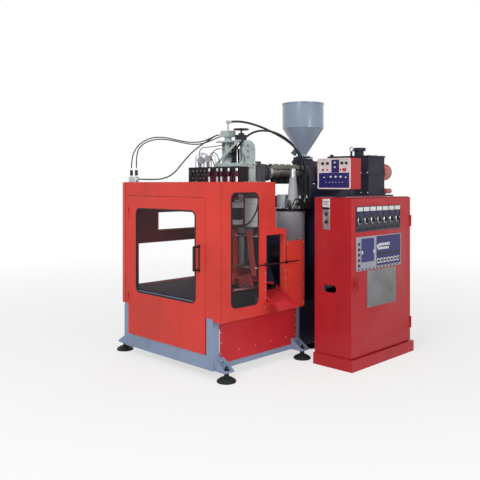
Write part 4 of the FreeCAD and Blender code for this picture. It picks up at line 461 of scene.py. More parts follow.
def line(name, slot, points, radius, order=4):
    """A pipe or fixed lead on the machine, its radius in millimetres."""
    curve = round_curve(name, points, radius / 1000, order, 4, 10)
    bpy.context.view_layer.update()
    data = bpy.data.meshes.new_from_object(curve.evaluated_get(bpy.context.evaluated_depsgraph_get()))
    bpy.data.objects.remove(curve)
    made = in_scene(name, data)
    data.materials.clear()
    data.materials.append(MATERIALS[slot])
    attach(made, "machine")


for node in sorted(nodes):
    if node not in ROUTES:
        dress(node)
for node, (radius, length, route) in ROUTES.items():
    hose(node, radius, route)

# ---------------------------------------------------------------- building blocks


def slab(mesh, low, high):
    """A block between two corners."""
    low, high = at(*low), at(*high)
    for vert in bmesh.ops.create_cube(mesh, size=1)["verts"]:
        for axis in range(3):
            vert.co[axis] = low[axis] if vert.co[axis] < 0 else high[axis]


def turns(count):
    """The angles of equal steps round a circle."""
    return [math.tau * step / count for step in range(count)]


def lathe(mesh, base, direction, profile, sides=32):
    """Rings of (radius, height) about a direction, closed where a radius is 0."""
    base = at(*base)
    turn = Vector(direction).to_track_quat("Z", "Y").to_matrix()
    rings = []
    for radius, height in profile:
        angles = turns(sides) if radius else [0]
        spots = [Vector((math.cos(angle) * radius, math.sin(angle) * radius, height)) for angle in angles]
        rings.append([mesh.verts.new(base + turn @ (spot / 1000)) for spot in spots])
    for first, second in zip(rings, rings[1:]):
        for step in range(sides):
            following = (step + 1) % sides
            corners = [first[step % len(first)], first[following % len(first)],
                       second[following % len(second)], second[step % len(second)]]
            unique = list(dict.fromkeys(corners))
            if len(unique) > 2:
                mesh.faces.new(unique)


def bar(mesh, start, end, radius, sides=20):
    """A round bar between two points."""
    direction = Vector(end) - Vector(start)
    reach = direction.length
    lathe(mesh, start, direction, [(0, 0), (radius, 0), (radius, reach), (0, reach)], sides)


def hex_bolt(mesh, place, direction, across):
    """A hexagon head on its washer."""
    washer, head, top = across * 0.72, across * 0.577, across * 0.62
    rise = across * 0.14
    lathe(mesh, place, direction, [(0, -1), (washer, -1), (washer, rise), (0, rise)], 20)
    lathe(mesh, place, direction,
          [(0, 0), (head, 0), (head, across * 0.5), (across * 0.50, top), (0, top)], 6)


def screw_head(mesh, place, direction, radius):
    """A low domed screw head."""
    profile = [(radius, -1), (radius, radius * 0.2), (radius * 0.75, radius * 0.5), (0, radius * 0.6)]
    lathe(mesh, place, direction, profile, 16)


def fasten(mesh, head, xs, ys, zs, direction, size):
    """A fastener's head at every combination of the coordinates."""
    for x in xs:
        for y in ys:
            for z in zs:
                head(mesh, (x, y, z), direction, size)


def skin(mesh, rings, looped=False):
    """Faces between rings of corners, which meet at the ends where looped and are capped where not."""
    rings = [[mesh.verts.new(at(*corner)) for corner in ring] for ring in rings]
    pairs = list(zip(rings, rings[1:]))
    if looped:
        pairs.append((rings[-1], rings[0]))
    else:
        mesh.faces.new(rings[0])
        mesh.faces.new(rings[-1][::-1])
    for first, second in pairs:
        for index in range(len(first)):
            after = (index + 1) % len(first)
            mesh.faces.new([first[index], first[after], second[after], second[index]])


def rounded_loop(low, high, corner, steps=8):
    """Points and outward directions round a rectangle with rounded corners."""
    centres = [(high[0] - corner, high[1] - corner, 0), (low[0] + corner, high[1] - corner, 90),
               (low[0] + corner, low[1] + corner, 180), (high[0] - corner, low[1] + corner, 270)]
    loop = []
    for x, y, start in centres:
        for step in range(steps + 1):
            angle = math.radians(start + 90 * step / steps)
            out = (math.cos(angle), math.sin(angle))
            loop.append(((x + out[0] * corner, y + out[1] * corner), out))
    return loop


def edging(mesh, loop, section, lift):
    """A closed moulding: (outward, along) pairs carried round a loop and lifted into space."""
    skin(mesh, [[lift(x + out_x * out, y + out_y * out, along) for out, along in section]
                for (x, y), (out_x, out_y) in loop], looped=True)


def part(slot, bevel=0.001, body="machine"):
    """Makes the piece that the function below it builds, under that function's name."""
    def make(build):
        mesh = bmesh.new()
        build(mesh)
        bmesh.ops.recalc_face_normals(mesh, faces=mesh.faces)
        finish_mesh(mesh, build.__name__, slot, body, bevel)
        return build
    return make


def on_face(corner, along, out):
    """Gives places on an upright face by distance along it, height, and how far out they lie."""
    corner, along, out = Vector(corner), Vector(along), Vector(out)
    return lambda across, height, lift: corner + along * across + Vector((0, 0, height)) + out * lift


def raised(spot, by):
    """The same face, further out."""
    return lambda across, height, lift: spot(across, height, lift + by)


def outward(spot):
    """The direction that a face looks in."""
    return spot(0, 0, 1) - spot(0, 0, 0)


def cover(mesh, spot, low, high, thickness=3):
    """A thin cover plate on a face."""
    slab(mesh, spot(*low, -1), spot(*high, thickness))


def cover_screws(mesh, spot, low, high, rows, thickness=3):
    """Screws in rows along the upright edges of such a cover."""
    inset = 18
    for across in (low[0] + inset, high[0] - inset):
        for row in range(rows):
            height = low[1] + inset + (high[1] - low[1] - inset * 2) * row / (rows - 1)
            screw_head(mesh, spot(across, height, thickness), outward(spot), 6)


def louvres(mesh, spot, low, high, pitch=28):
    """Pressed louvres: long wedges that open downwards."""
    height = low[1]
    while height + pitch * 0.7 < high[1]:
        section = ((height, -1), (height, 9), (height + pitch * 0.25, 8), (height + pitch * 0.7, -1))
        skin(mesh, [[spot(across, rise, lift) for rise, lift in section] for across in (low[0], high[0])])
        height += pitch


def latch(mesh, spot, across, height):
    """A round lock with its raised key plate."""
    lathe(mesh, spot(across, height, 2), outward(spot), [(0, 0), (17, 0), (17, 5), (13, 9), (0, 9)], 28)
    slab(mesh, spot(across - 3, height - 10, 8), spot(across + 3, height + 10, 14))


# ---------------------------------------------------------------- window edges and cabin trim

DOOR_WINDOW = rounded_loop((-1166, 680), (-236, 1540), 55)
SIDE_WINDOW = rounded_loop((125, 660), (481, 1710), 55)
CHANNEL = ((-9, 1), (7, 1), (8, -2), (5, -4), (-6, -4), (-9, -2))
SMALL_CHANNEL = ((-8, 1), (6, 1), (7, -2), (4, -4), (-6, -4), (-8, -2))
LUGS = (78, 1158)


@part("window_rubber", 0.0006, "safety_door")
def door_window_edge(mesh):
    """The rubber channel round the door's window."""
    edging(mesh, DOOR_WINDOW, CHANNEL, lambda x, z, out: (x, -6 + out, z))


@part("window_rubber", 0.0006)
def side_window_edge(mesh):
    """The rubber channel round the tall window."""
    edging(mesh, SIDE_WINDOW, CHANNEL, lambda y, z, out: (WALL - out, y, z))


@part("window_rubber", 0.0006)
def left_window_edges(mesh):
    """The rubber channel round the two openings in the left wall."""
    for low, high in (((170, 705), (1080, 1155)), ((438, 1280), (1080, 1485))):
        edging(mesh, rounded_loop(low, high, 12, 3), SMALL_CHANNEL,
               lambda y, z, out: (LEFT_WALL - 1 - out, y, z))


@part("handle_black", 0.0008, "safety_door")
def handle_strip(mesh):
    """The dark strip that the pull handle is bolted through, and its two bolts."""
    slab(mesh, (-194, -8.5, 975), (-168, -5.5, 1235))
    fasten(mesh, hex_bolt, (-181,), (-8,), (988, 1222), FRONT, 11)


@part("window_rubber", 0.0005)
def bed_seal(mesh):
    """The rubber strip that closes the gap between the bed and the right wall."""
    slab(mesh, (0.5, 92, 545), (3, 558, 701))


@part("cabin_red", 0.0005)
def guard_joint(mesh):
    """The strip behind the joint between the right wall and the discharge guard."""
    slab(mesh, (106, 520, 1356), (110.9, 727, 1392))


@part("cabin_red", 0)
def corner_beads(mesh):
    """The rolled front corners of the cabin."""
    low, high = millimetres("front_panel")
    inset = 5
    for x in (high.x - inset, low.x + inset):
        bar(mesh, (x, low.y + inset, low.z), (x, low.y + inset, high.z), 7, 24)


@part("steel", 0)
def skirt_screws(mesh):
    """Screws along the edges of the right skirt and the guards."""
    fasten(mesh, screw_head, (SKIRT,), (98, 1162), (230, 330, 430, 515), RIGHT, 7)
    fasten(mesh, screw_head, (SKIRT,), (330, 560, 790, 1010), (232,), RIGHT, 7)
    fasten(mesh, screw_head, (WALL,), (915, 1165), (580, 760, 940, 1120, 1200), RIGHT, 6)
    fasten(mesh, screw_head, (WALL + 8,), (575, 876), (620, 700, 780, 860, 940), RIGHT, 6)


@part("steel", 0.0006)
def lug_bolts(mesh):
    """Two bolts through each side lug's upright edge."""
    places = [middle + offset for middle in LUGS for offset in (-34, 34)]
    fasten(mesh, hex_bolt, (0,), places, (165,), RIGHT, 19)
    fasten(mesh, hex_bolt, (BASE_LEFT,), places, (165,), LEFT, 19)


@part("foot_black", 0)
def pad_rims(mesh):
    """The moulded rims of the pads."""
    for x in (98, -1485):
        for y in LUGS:
            lathe(mesh, (x, y, 0), UP, [(84, 1), (88.5, 3), (88.5, 12), (84, 15)], 48)


# ---------------------------------------------------------------- blow unit and air

MANIFOLD_FRONT = 360
TUBE_FOOT = 1964
VALVE_SPREAD = (-425, -308, -250, -148, -40)
VALVE_Y = 346
PORT_Z = 1890
COIL_TOP = 1916
GAUGES = ((-614, 398, 2032, 36), (-514, 402, 2046, 33))
TOWARDS_CAMERA = Vector((0.66, -0.75, 0.0))


@part("conduit_silver", 0.0006)
def manifold_valves(mesh):
    """Bright valve bodies that stand in front of the manifold's right half."""
    for x in VALVE_SPREAD:
        lathe(mesh, (x, VALVE_Y, ROOF + 1), UP, [(0, 0), (13, 0), (13, 50), (8, 54), (0, 54)], 20)
        lathe(mesh, (x, VALVE_Y, COIL_TOP), UP, [(0, 0), (8, 0), (12, 4), (12, 32), (0, 36)], 20)
        bar(mesh, (x, VALVE_Y, PORT_Z), (x, MANIFOLD_FRONT + 2, PORT_Z), 7, 14)


@part("band_steel", 0.0005)
def manifold_fittings(mesh):
    """Small plugs in the manifold's face and push-in fittings along its foot."""
    for number in range(5):
        x = -740 + 58 * number
        hex_bolt(mesh, (x, MANIFOLD_FRONT - 1, 1925), FRONT, 13)
        hex_bolt(mesh, (x + 12, MANIFOLD_FRONT - 1, PORT_Z), FRONT, 9)
        lathe(mesh, (x, MANIFOLD_FRONT, 1850), FRONT, [(7, 0), (7, 12), (5, 14), (0, 14)], 16)


@part("coil_purple")
def manifold_coils(mesh):
    """The dark red coils of those valves, and a second row low down."""
    for x in VALVE_SPREAD:
        slab(mesh, (x - 14, VALVE_Y - 14, PORT_Z - 20), (x + 14, MANIFOLD_FRONT, COIL_TOP))
    for x in (-392, -366, -340, -216, -184, -112, -80):
        lathe(mesh, (x, VALVE_Y + 3, ROOF + 3), UP, [(0, 0), (9, 0), (9, 34), (6, 38), (6, 58), (0, 60)], 16)


@part("tube_smoke", 0.0006)
def gauge_bodies(mesh):
    """Pressure gauges on short stems over the manifold."""
    for x, y, z, radius in GAUGES:
        bar(mesh, (x, y, TUBE_FOOT), (x, y, z), 6, 12)
        lip = radius * 0.88
        profile = [(0, -12), (radius, -12), (radius, 8), (lip, 10), (lip, 6), (0, 6)]
        lathe(mesh, (x, y, z), TOWARDS_CAMERA, profile, 36)


@part("bezel_grey", 0)
def gauge_faces(mesh):
    """The gauges' white dials, level with their rims."""
    for x, y, z, radius in GAUGES:
        dial = radius * 0.87
        lathe(mesh, (x, y, z), TOWARDS_CAMERA, [(dial, 6), (dial, 8), (0, 8)], 36)


@part("knob_black", 0)
def gauge_marks(mesh):
    """Scale marks and a pointer on each gauge."""
    direction = TOWARDS_CAMERA.normalized()
    up = Vector(UP)
    across = direction.cross(up).normalized()
    for x, y, z, radius in GAUGES:
        centre = Vector((x, y, z)) + direction * 8
        for number in range(9):
            angle = math.radians(-40 + 32.5 * number)
            out = across * math.cos(angle) + up * math.sin(angle)
            bar(mesh, centre + out * radius * 0.66, centre + out * radius * 0.8, 0.9, 8)
        bar(mesh, centre, centre + (across * -0.5 + up * 0.7) * radius * 0.8, 1.0, 8)
        bar(mesh, centre, centre + direction * 2, 3, 12)


@part("conduit_silver", 0.0006)
def column_fittings(mesh):
    """Couplings, gland nuts and the flange's bolts on the column's head."""
    for x, y, z, radius in ((-78, 1440, 1636, 17), (-108, 1370, 1636, 17), (-52, 1390, 1600, 14)):
        neck = radius * 0.8
        lathe(mesh, (x, y, z), UP, [(radius, 0), (radius, 16), (neck, 20), (neck, 34), (0, 34)], 6)
    for x, y in ((-150, 1300), (-90, 1340)):
        lathe(mesh, (x, y, 1530), UP, [(15, 0), (15, 14), (11, 18), (11, 30), (0, 30)], 6)
    reach, first = 152, math.tau * 0.03
    for angle in turns(10):
        x = COLUMN[0] + reach * math.cos(angle + first)
        y = COLUMN[1] + reach * math.sin(angle + first)
        hex_bolt(mesh, (x, y, 1530), UP, 14)


@part("head_grey", 0.0008)
def riser_cowl(mesh):
    """The tapered cowl round the foot of the bright riser on the column."""
    lathe(mesh, (*RISER, 1600), UP, [(58, 0), (60, 4), (54, 120), (31, 318), (27, 322), (20, 322)], 40)


@part("conduit_silver", 0.0005)
def hose_ferrules(mesh):
    """Swaged ends of the hoses on the blow unit and the terminals."""
    for node, end, direction, radius in (
        ("blow_supply_hose", 0, RIGHT, 14), ("blow_return_hose", 0, RIGHT, 13),
        ("terminal_lead", -1, LEFT, 9), ("second_lead", -1, LEFT, 9), ("roof_hose", -1, LEFT, 10),
        ("roof_hose", 0, RIGHT, 10), ("terminal_lead", 0, UP, 9), ("second_lead", 0, UP, 9),
    ):
        neck = radius * 0.85
        profile = [(0, -1), (radius, -1), (radius, 14), (neck, 17), (neck, 38), (radius * 0.6, 40), (0, 40)]
        lathe(mesh, ROUTES[node][2][end], direction, profile, 24)


@part("knob_black")
def terminal_caps(mesh):
    """Black sleeves on the two terminals."""
    for node in ("terminal_lead", "second_lead"):
        x, y, _ = ROUTES[node][2][0]
        lathe(mesh, (x, y, 1884), UP, [(0, 0), (12, 0), (16, 2), (16, 52), (12, 58), (0, 58)], 12)


@part("steel", 0.0005)
def deck_bolts(mesh):
    """Bolts that hold the deck, the side plate and the cylinder's cap."""
    columns = (-492, -315, -138)
    fasten(mesh, hex_bolt, columns, (513, 692), (DECK,), UP, 15)
    fasten(mesh, hex_bolt, columns, (512.5, 691.5), (ROOF + 15,), UP, 12)
    fasten(mesh, hex_bolt, (-442, -358), (538, 622), (2335,), UP, 13)
    fasten(mesh, hex_bolt, (-140,), (592, 668), (2040, 2150), RIGHT, 13)


@part("gear_navy", 0.003)
def spindle_housing(mesh):
    """The nut housing under the handwheel, with its gland."""
    slab(mesh, (-296, 576, 2232), (-210, 660, 2290))
    lathe(mesh, (-250, 620, 2290), UP, [(30, 0), (30, 12), (22, 20), (14, 20), (14, 0)], 32)


@part("unit_green")
def blow_inner(mesh):
    """The upright plates between the blow cylinder and the side plate."""
    for x in (-212, -178):
        slab(mesh, (x, 560, DECK + 1), (x + 7, 700, 2213))
    slab(mesh, (-344, 560, DECK + 1), (-338, 640, 2130))


@part("unit_green")
def deck_packing(mesh):
    """The blocks between the valve manifold and the deck."""
    slab(mesh, (-500, 482, TUBE_FOOT), (-128, 506, 1991))
    slab(mesh, (-142, 505, TUBE_FOOT), (-126, 650, 1991))


@part("valve_black", 0.002)
def air_valve(mesh):
    """The black air valve and its silencer that stand on the deck."""
    slab(mesh, (-312, 540, DECK + 1), (-252, 600, 2150))
    lathe(mesh, (-282, 570, 2150), UP, [(20, 0), (20, 8), (15, 10), (15, 48), (0, 54)], 24)
    slab(mesh, (-300, 532, 2040), (-264, 541, 2110))


@part("chrome", 0.0008)
def blow_rods(mesh):
    """The guide rod and the limit rod that stand on the deck."""
    bar(mesh, (-446, 624, DECK + 1), (-446, 624, 2330), 8, 16)
    bar(mesh, (-236, 548, DECK + 1), (-236, 548, 2216), 6, 16)


# The middle of the foot of the solenoid that hangs beside the pin.
VALVE_PLACE = (-318, 640, 1432)


@part("valve_black", 0.003)
def pin_valve(mesh):
    """The black solenoid of the blow air, hung beside the pin."""
    x, y, z = VALVE_PLACE
    slab(mesh, (x - 36, y - 34, z), (x + 34, y + 34, z + 122))
    lathe(mesh, (x, y, z - 48), DOWN, [(0, 0), (22, 0), (22, 20), (14, 26), (0, 26)], 24)


@part("key_white")
def pin_valve_bracket(mesh):
    """That solenoid's white body, connector and the plate that hangs it from the roof."""
    x, y, z = VALVE_PLACE
    slab(mesh, (x - 46, y - 38, z + 122), (x + 42, y + 38, z + 176))
    slab(mesh, (x - 22, y - 30, z + 176), (x + 22, y + 20, z + 200))
    slab(mesh, (x - 42, y - 36, z - 48), (x + 38, y + 36, z))
    slab(mesh, (x - 30, y + 38, z + 130), (x + 30, y + 43, ROOF - 4))


JACKET_Y = 1000
JACKET_INNER = 116
JACKET_OUTER = 120
JACKET_LOW = 1345
JACKET_HIGH = 1640


def round_head(angle, reach, z):
    """A place round the die head's axis."""
    return AXIS_X + math.cos(angle) * reach, JACKET_Y + math.sin(angle) * reach, z


# The front half of a turn, in 24 steps.
FRONT_HALF = [math.pi * (1 + step / 24) for step in range(25)]


@part("shield_white", 0.0008)
def head_jacket(mesh):
    """The insulating jacket round the front half of the die head, with its two bolted flanges."""
    section = ((JACKET_INNER, JACKET_LOW), (JACKET_OUTER, JACKET_LOW), (JACKET_OUTER, JACKET_HIGH),
               (JACKET_INNER, JACKET_HIGH))
    skin(mesh, [[round_head(angle, reach, z) for reach, z in section] for angle in FRONT_HALF])
    for x in (AXIS_X - JACKET_OUTER - 22, AXIS_X + JACKET_OUTER):
        slab(mesh, (x, JACKET_Y - 4, JACKET_LOW), (x + 22, JACKET_Y, JACKET_HIGH))


@part("steel", 0)
def head_jacket_bolts(mesh):
    """Bolts in the jacket's flanges and the bands round it."""
    places = (AXIS_X - JACKET_OUTER - 11, AXIS_X + JACKET_OUTER + 11)
    heights = (JACKET_LOW + 30, (JACKET_LOW + JACKET_HIGH) / 2, JACKET_HIGH - 30)
    fasten(mesh, hex_bolt, places, (JACKET_Y - 4,), heights, FRONT, 11)
    for z in (JACKET_LOW + 55, JACKET_HIGH - 55):
        band = [round_head(angle, JACKET_OUTER + 1, z) for angle in FRONT_HALF]
        for start, end in zip(band, band[1:]):
            bar(mesh, start, end, 3, 8)


@part("water_orange", body="right_clamp")
def water_pipes(mesh):
    """The cooling water's pipes along the right mould."""
    left, right = -266, -214
    for z in (1075, 1115, 1155):
        bar(mesh, (left, 902, z), (right, 902, z), 12, 20)
        for x in (left, right):
            bar(mesh, (x, 888, z), (x, 921, z), 15, 20)


@part("cabin_red", body="carriage")
def clamp_arm(mesh):
    """The slanting arm and the gusset that stiffen the clamp frame in front."""
    arm = ((-307, 1321), (-239, 1325), (-172, 860), (-236, 850))
    gusset = ((-405, 823), (-269, 874), (-186, 730), (-200, 722))
    for outline, front, rear in ((arm, 748, 759.5), (gusset, 744, 757)):
        skin(mesh, [[(x, y, z) for x, z in outline] for y in (front, rear)])


# Tubes that loop over the manifold in one plane: the finish, the plane's y, and (x, z) pairs.
FLAT_TUBES = {
    "air_tube_1": ("clear_tube", 432, [
        (-700, TUBE_FOOT), (-700, 2060), (-660, 2120), (-590, 2120), (-560, 2050), (-560, TUBE_FOOT)]),
    "air_tube_2": ("tube_smoke", 468, [
        (-640, TUBE_FOOT), (-640, 2040), (-600, 2085), (-540, 2080), (-500, 2030), (-480, TUBE_FOOT)]),
    "air_tube_3": ("clear_tube", 456, [
        (-560, TUBE_FOOT), (-555, 2030), (-520, 2095), (-470, 2090), (-450, 2030), (-450, TUBE_FOOT)]),
    "air_tube_5": ("tube_smoke", 444, [
        (-690, TUBE_FOOT), (-690, 2050), (-660, 2095), (-610, 2112), (-560, 2095), (-540, 2040),
        (-536, TUBE_FOOT)]),
}
# Tubes that run on to the blow unit.
LONG_TUBES = {
    "air_tube_4": [(-500, 438, TUBE_FOOT), (-500, 438, 2080), (-480, 444, 2150), (-440, 520, 2160),
                   (-425, 555, 2140)],
    "air_tube_6": [(-580, 476, TUBE_FOOT), (-580, 478, 2060), (-560, 480, 2108), (-510, 482, 2120),
                   (-460, 486, 2100), (-440, 490, 2030), (-430, 500, 2004)],
    "air_tube_7": [(-704, 456, TUBE_FOOT), (-706, 456, 2100), (-694, 456, 2160), (-640, 456, 2172),
                   (-560, 470, 2172), (-480, 520, 2185), (-432, 570, 2195)],
}
# Short black leads round the column and over the feed casting's cover.
LEADS = {
    "column_lead_1": [(-150, 1300, 1535), (-150, 1300, 1600), (-120, 1320, 1680), (-90, 1340, 1600)],
    "column_lead_2": [(-70, 1350, 1600), (-60, 1340, 1680), (-20, 1340, 1700), (0, 1360, 1640),
                      (-52, 1390, 1590)],
    "feed_lead": [(-450, 1706, 2026), (-450, 1660, 2026), (-440, 1620, 2050), (-410, 1640, 2070),
                  (-390, 1706, 2046)],
}
for name, (slot, y, route) in FLAT_TUBES.items():
    line(name, slot, [(x, y, z) for x, z in route], 4.5)
for name, route in LONG_TUBES.items():
    line(name, "tube_smoke", route, 4.5)
for name, route in LEADS.items():
    line(name, "hose_black", route, 7)
for number in range(5):
    x = -158 + 24 * number
    rise = 1882 + 31 * number
    line(f"hydraulic_pipe_{number + 1}", "hose_black",
         [(x, 1480, 1598), (x, 1480, 1780), (x, 1484, 1880 + 20 * number), (-215, 1600, 1882 + 28 * number),
          (-288, 1705, rise), (-335, 1740, rise)], 11, 3)
line("pin_valve_lead", "hose_black",
     [(-318, 640, 1362), (-316, 662, 1352), (-300, 700, 1354), (-260, 780, 1410), (-228, 830, 1520),
      (-215, 850, 1640), (-215, 850, ROOF - 4)], 8)

# ---------------------------------------------------------------- extruder

BANDS_START = barrel_low.y + 30
BANDS_END = barrel_high.y - 6
BANDS = 5
BAND_STARTS = [BANDS_START + (BANDS_END - BANDS_START) / BANDS * number for number in range(BANDS)]


@part("steel", 0.0005)
def band_clamps(mesh):
    """Clamping bolts on the heater bands."""
    places = [start + along for start in BAND_STARTS for along in (18, 72)]
    fasten(mesh, hex_bolt, (AXIS_X + 78,), places, (BARREL_Z,), RIGHT, 10)


@part("valve_black", 0.0015)
def band_terminals(mesh):
    """Terminal boxes under the heater bands, and the conduit that feeds them."""
    x, z = AXIS_X + 52, BARREL_Z - 92
    for start in BAND_STARTS:
        slab(mesh, (x - 22, start + 22, z - 16), (x + 24, start + 78, z + 26))
        lathe(mesh, (x, start + 50, z - 16), DOWN, [(9, 0), (9, 12), (0, 12)], 12)
    bar(mesh, (x, BANDS_START + 10, z - 20), (x, BANDS_END, z - 20), 12, 16)


@part("guard_olive", 0.0008)
def barrel_cover(mesh):
    """The folded sheet over the barrel's top."""
    reach, top, sheet = 84, BARREL_Z + 80.6, 2
    lip = top - 40
    for left, right, low, high in ((-reach, reach, top, top + sheet), (-reach, sheet - reach, lip, top),
                                   (reach - sheet, reach, lip, top)):
        slab(mesh, (AXIS_X + left, BANDS_START - 24, low), (AXIS_X + right, BANDS_END + 4, high))


@part("tube_smoke", 0.0015)
def hopper_spout(mesh):
    """The capped spout that empties the hopper, low on its cone."""
    profile = [(30, -16), (30, 78), (36, 78), (36, 96), (0, 100)]
    lathe(mesh, (-462, 1765, 2216), (-0.62, -0.3, -1), profile, 28)


@part("steel", 0.0006)
def gearbox_bolts(mesh):
    """Bolts round the reducer's split flange, its cover, the coupling guard and the feed casting."""
    half, reach = 290, 161
    across = [AXIS_X + half * (number / 3 - 1) for number in range(7)]
    fasten(mesh, hex_bolt, across, (2672,), (1931, 1684), UP, 17)
    for angle in turns(8):
        place = (AXIS_X + reach * math.cos(angle), 2150, BARREL_Z + reach * math.sin(angle))
        hex_bolt(mesh, place, FRONT, 15)
    fasten(mesh, hex_bolt, (AXIS_X - half, AXIS_X + half), (2700, 2860, 3010), (2146,), UP, 19)
    fasten(mesh, hex_bolt, (AXIS_X - 60, AXIS_X + 60), (1715, 1905), (hopper_low.z,), UP, 16)


@part("steel", 0)
def lifting_eye(mesh):
    """The forged ring on the reducer's cover."""
    centre, reach, thick = Vector((AXIS_X, 2750, 2232)), 26, 7
    rings = []
    for angle in turns(28):
        out = Vector((math.cos(angle), 0, math.sin(angle)))
        rings.append([centre + out * (reach + thick * math.cos(bend))
                      + Vector(FRONT) * thick * math.sin(bend) for bend in turns(12)])
    skin(mesh, rings, looped=True)


@part("hopper_blue", 0)
def hopper_seams(mesh):
    """The rolled bead at the hopper's shoulder, and the flange's bolts."""
    middle, half = (hopper_low.y + hopper_high.y) / 2, 65
    lathe(mesh, (AXIS_X, middle, 2434), UP, [(237, -3), (240, -1.5), (240, 1.5), (237, 3)], 72)
    fasten(mesh, hex_bolt, (AXIS_X - half, AXIS_X + half), (middle - half, middle + half), (2116,), UP, 13)


@part("motor_red", 0.0005)
def motor_fins(mesh):
    """Cooling fins round the drive motor."""
    start, radius, length, height = Vector((-200, 3062, 1945)), 100, 140, 7
    rear = Vector(REAR)
    for angle in turns(24):
        out = Vector((math.cos(angle), 0, math.sin(angle)))
        root, tip = start + out * radius, start + out * (radius + height)
        side = out.cross(rear) * 2
        section = (root - side, root + side, tip + side, tip - side)
        skin(mesh, [[corner + rear * along for corner in section] for along in (0, length)])


# ---------------------------------------------------------------- the sides away from the photograph

SIGHT = (-700, 2850, 1800)
BASE_FRONT = 1585
DOOR_LOW = 190
DOOR_HIGH = 1560
DOOR_MARGIN = 50
CABIN_BACK = on_face((LEFT_WALL, CABIN_REAR, 0), RIGHT, REAR)
CABIN_COVER = ((70, 600), (870, 1750))
PENDANT_BACK = on_face((pendant_low.x, pendant_high.y, 0), RIGHT, REAR)
PENDANT_COVER = ((22, pendant_low.z + 22), (pendant_high.x - pendant_low.x - 22, pendant_high.z - 22))


def base_faces():
    """The left, rear and right faces of the extruder base's tall part, with each one's width."""
    low, high = millimetres("extruder_base")
    return (
        (on_face((low.x, BASE_FRONT, 0), REAR, LEFT), high.y - BASE_FRONT),
        (on_face((low.x, high.y, 0), RIGHT, REAR), high.x - low.x),
        (on_face((high.x, BASE_FRONT, 0), REAR, RIGHT), high.y - BASE_FRONT),
    )


def base_doors():
    """For each service door in the extruder base: its face, its corners and its number on the face."""
    doors = []
    for spot, width in base_faces():
        count = 2 if width > 1000 else 1
        pitch = (width - DOOR_MARGIN) / count
        for number in range(count):
            start = DOOR_MARGIN + pitch * number
            doors.append((spot, (start, DOOR_LOW), (start + pitch - DOOR_MARGIN, DOOR_HIGH), number))
    return doors


@part("base_navy")
def base_door_plates(mesh):
    """The service doors, each with two fields of louvres."""
    for spot, low, high, _ in base_doors():
        cover(mesh, spot, low, high)
        for bottom in (low[1] + 130, high[1] - 330):
            louvres(mesh, raised(spot, 3), (low[0] + 110, bottom), (high[0] - 110, bottom + 220))


@part("steel", 0.0006)
def base_door_fittings(mesh):
    """Locks and hinges of those doors. The first door on a face has its hinges on the near side."""
    for spot, low, high, number in base_doors():
        lock, hinge = (high[0] - 40, low[0]) if number == 0 else (low[0] + 40, high[0])
        for height in (low[1] + 420, high[1] - 420):
            latch(mesh, spot, lock, height)
        for height in (low[1] + 160, high[1] - 220):
            bar(mesh, spot(hinge, height, 6), spot(hinge, height + 70, 6), 6, 16)


@part("cabin_red")
def cabin_rear_cover(mesh):
    """The removable cover on the cabin's back."""
    cover(mesh, CABIN_BACK, *CABIN_COVER)


@part("steel", 0)
def cabin_screws(mesh):
    """Its screws, and those along the roof and the left wall."""
    cover_screws(mesh, CABIN_BACK, *CABIN_COVER, 6)
    depths = (30, 330, 640, 940, 1210)
    fasten(mesh, screw_head, (LEFT_WALL,), depths, (565, 1790), LEFT, 6)
    fasten(mesh, screw_head, (LEFT_WALL + 20,), depths, (ROOF,), UP, 6)
    fasten(mesh, screw_head, (95,), depths[:3], (ROOF,), UP, 6)
    fasten(mesh, screw_head, (-1180, -940, -700, -460, -220), (-8,), (ROOF,), UP, 6)


@part("cabinet_red", 0.0008)
def cabinet_vents(mesh):
    """Louvres and a louvred filter cover on the cabinet's far side."""
    spot = on_face((289, 2219, 0), RIGHT, REAR)
    louvres(mesh, spot, (90, 1290), (350, 1530))
    louvres(mesh, spot, (90, 260), (350, 500))
    cover(mesh, spot, (110, 820), (330, 1040), 8)
    louvres(mesh, raised(spot, 8), (130, 845), (310, 1030), 18)


@part("cabinet_red", 0.0008, "pendant")
def pendant_back_cover(mesh):
    """The cover on the pendant's back."""
    cover(mesh, PENDANT_BACK, *PENDANT_COVER, 2)


@part("steel", 0, "pendant")
def pendant_back_fittings(mesh):
    """Its screws."""
    cover_screws(mesh, PENDANT_BACK, *PENDANT_COVER, 3, 2)


@part("gear_navy")
def drive_cable_trunk(mesh):
    """The drive's louvred cable trunk on the platform, under the coupling."""
    slab(mesh, (-352, 2055, 1661), (-120, 2420, 1748))
    louvres(mesh, on_face((-120, 2055, 0), REAR, RIGHT), (30, 1672), (330, 1738), 22)


@part("steel", 0.0005)
def oil_sights(mesh):
    """The rim of the reducer's oil sight glass, and the drain plug."""
    x, y, z = SIGHT
    lathe(mesh, SIGHT, LEFT, [(0, -1), (26, -1), (26, 8), (19, 10), (19, 5), (0, 5)], 32)
    hex_bolt(mesh, (x, y - 110, z - 88), LEFT, 24)


@part("sight_amber", 0.0005)
def oil_glasses(mesh):
    """The amber glass in that rim."""
    x, y, z = SIGHT
    lathe(mesh, (x - 5, y, z), LEFT, [(18.5, 0), (18.5, 3), (0, 4)], 32)


# ---------------------------------------------------------------- control cabinet

DIALS = 7
DIAL_LEFT = 1198
DIAL_PITCH = 804 / DIALS
DIAL_PLACES = [DIAL_LEFT + DIAL_PITCH * (number + 0.5) for number in range(DIALS)]
DIAL_Z = 1440


def on_door(mesh, back, front, y, z, width, height):
    """A block on the cabinet's door: how far out its back and front lie, its low corner and its size."""
    slab(mesh, (FACE + back, y, z), (FACE + front, y + width, z + height))


@part("instrument_black", 0.0006, "cabinet_door")
def setting_panel(mesh):
    """The dark plate that the seven setting units stand in."""
    on_door(mesh, -2, 3, DIAL_LEFT - 4, 1380, DIAL_PITCH * DIALS + 8, 198)


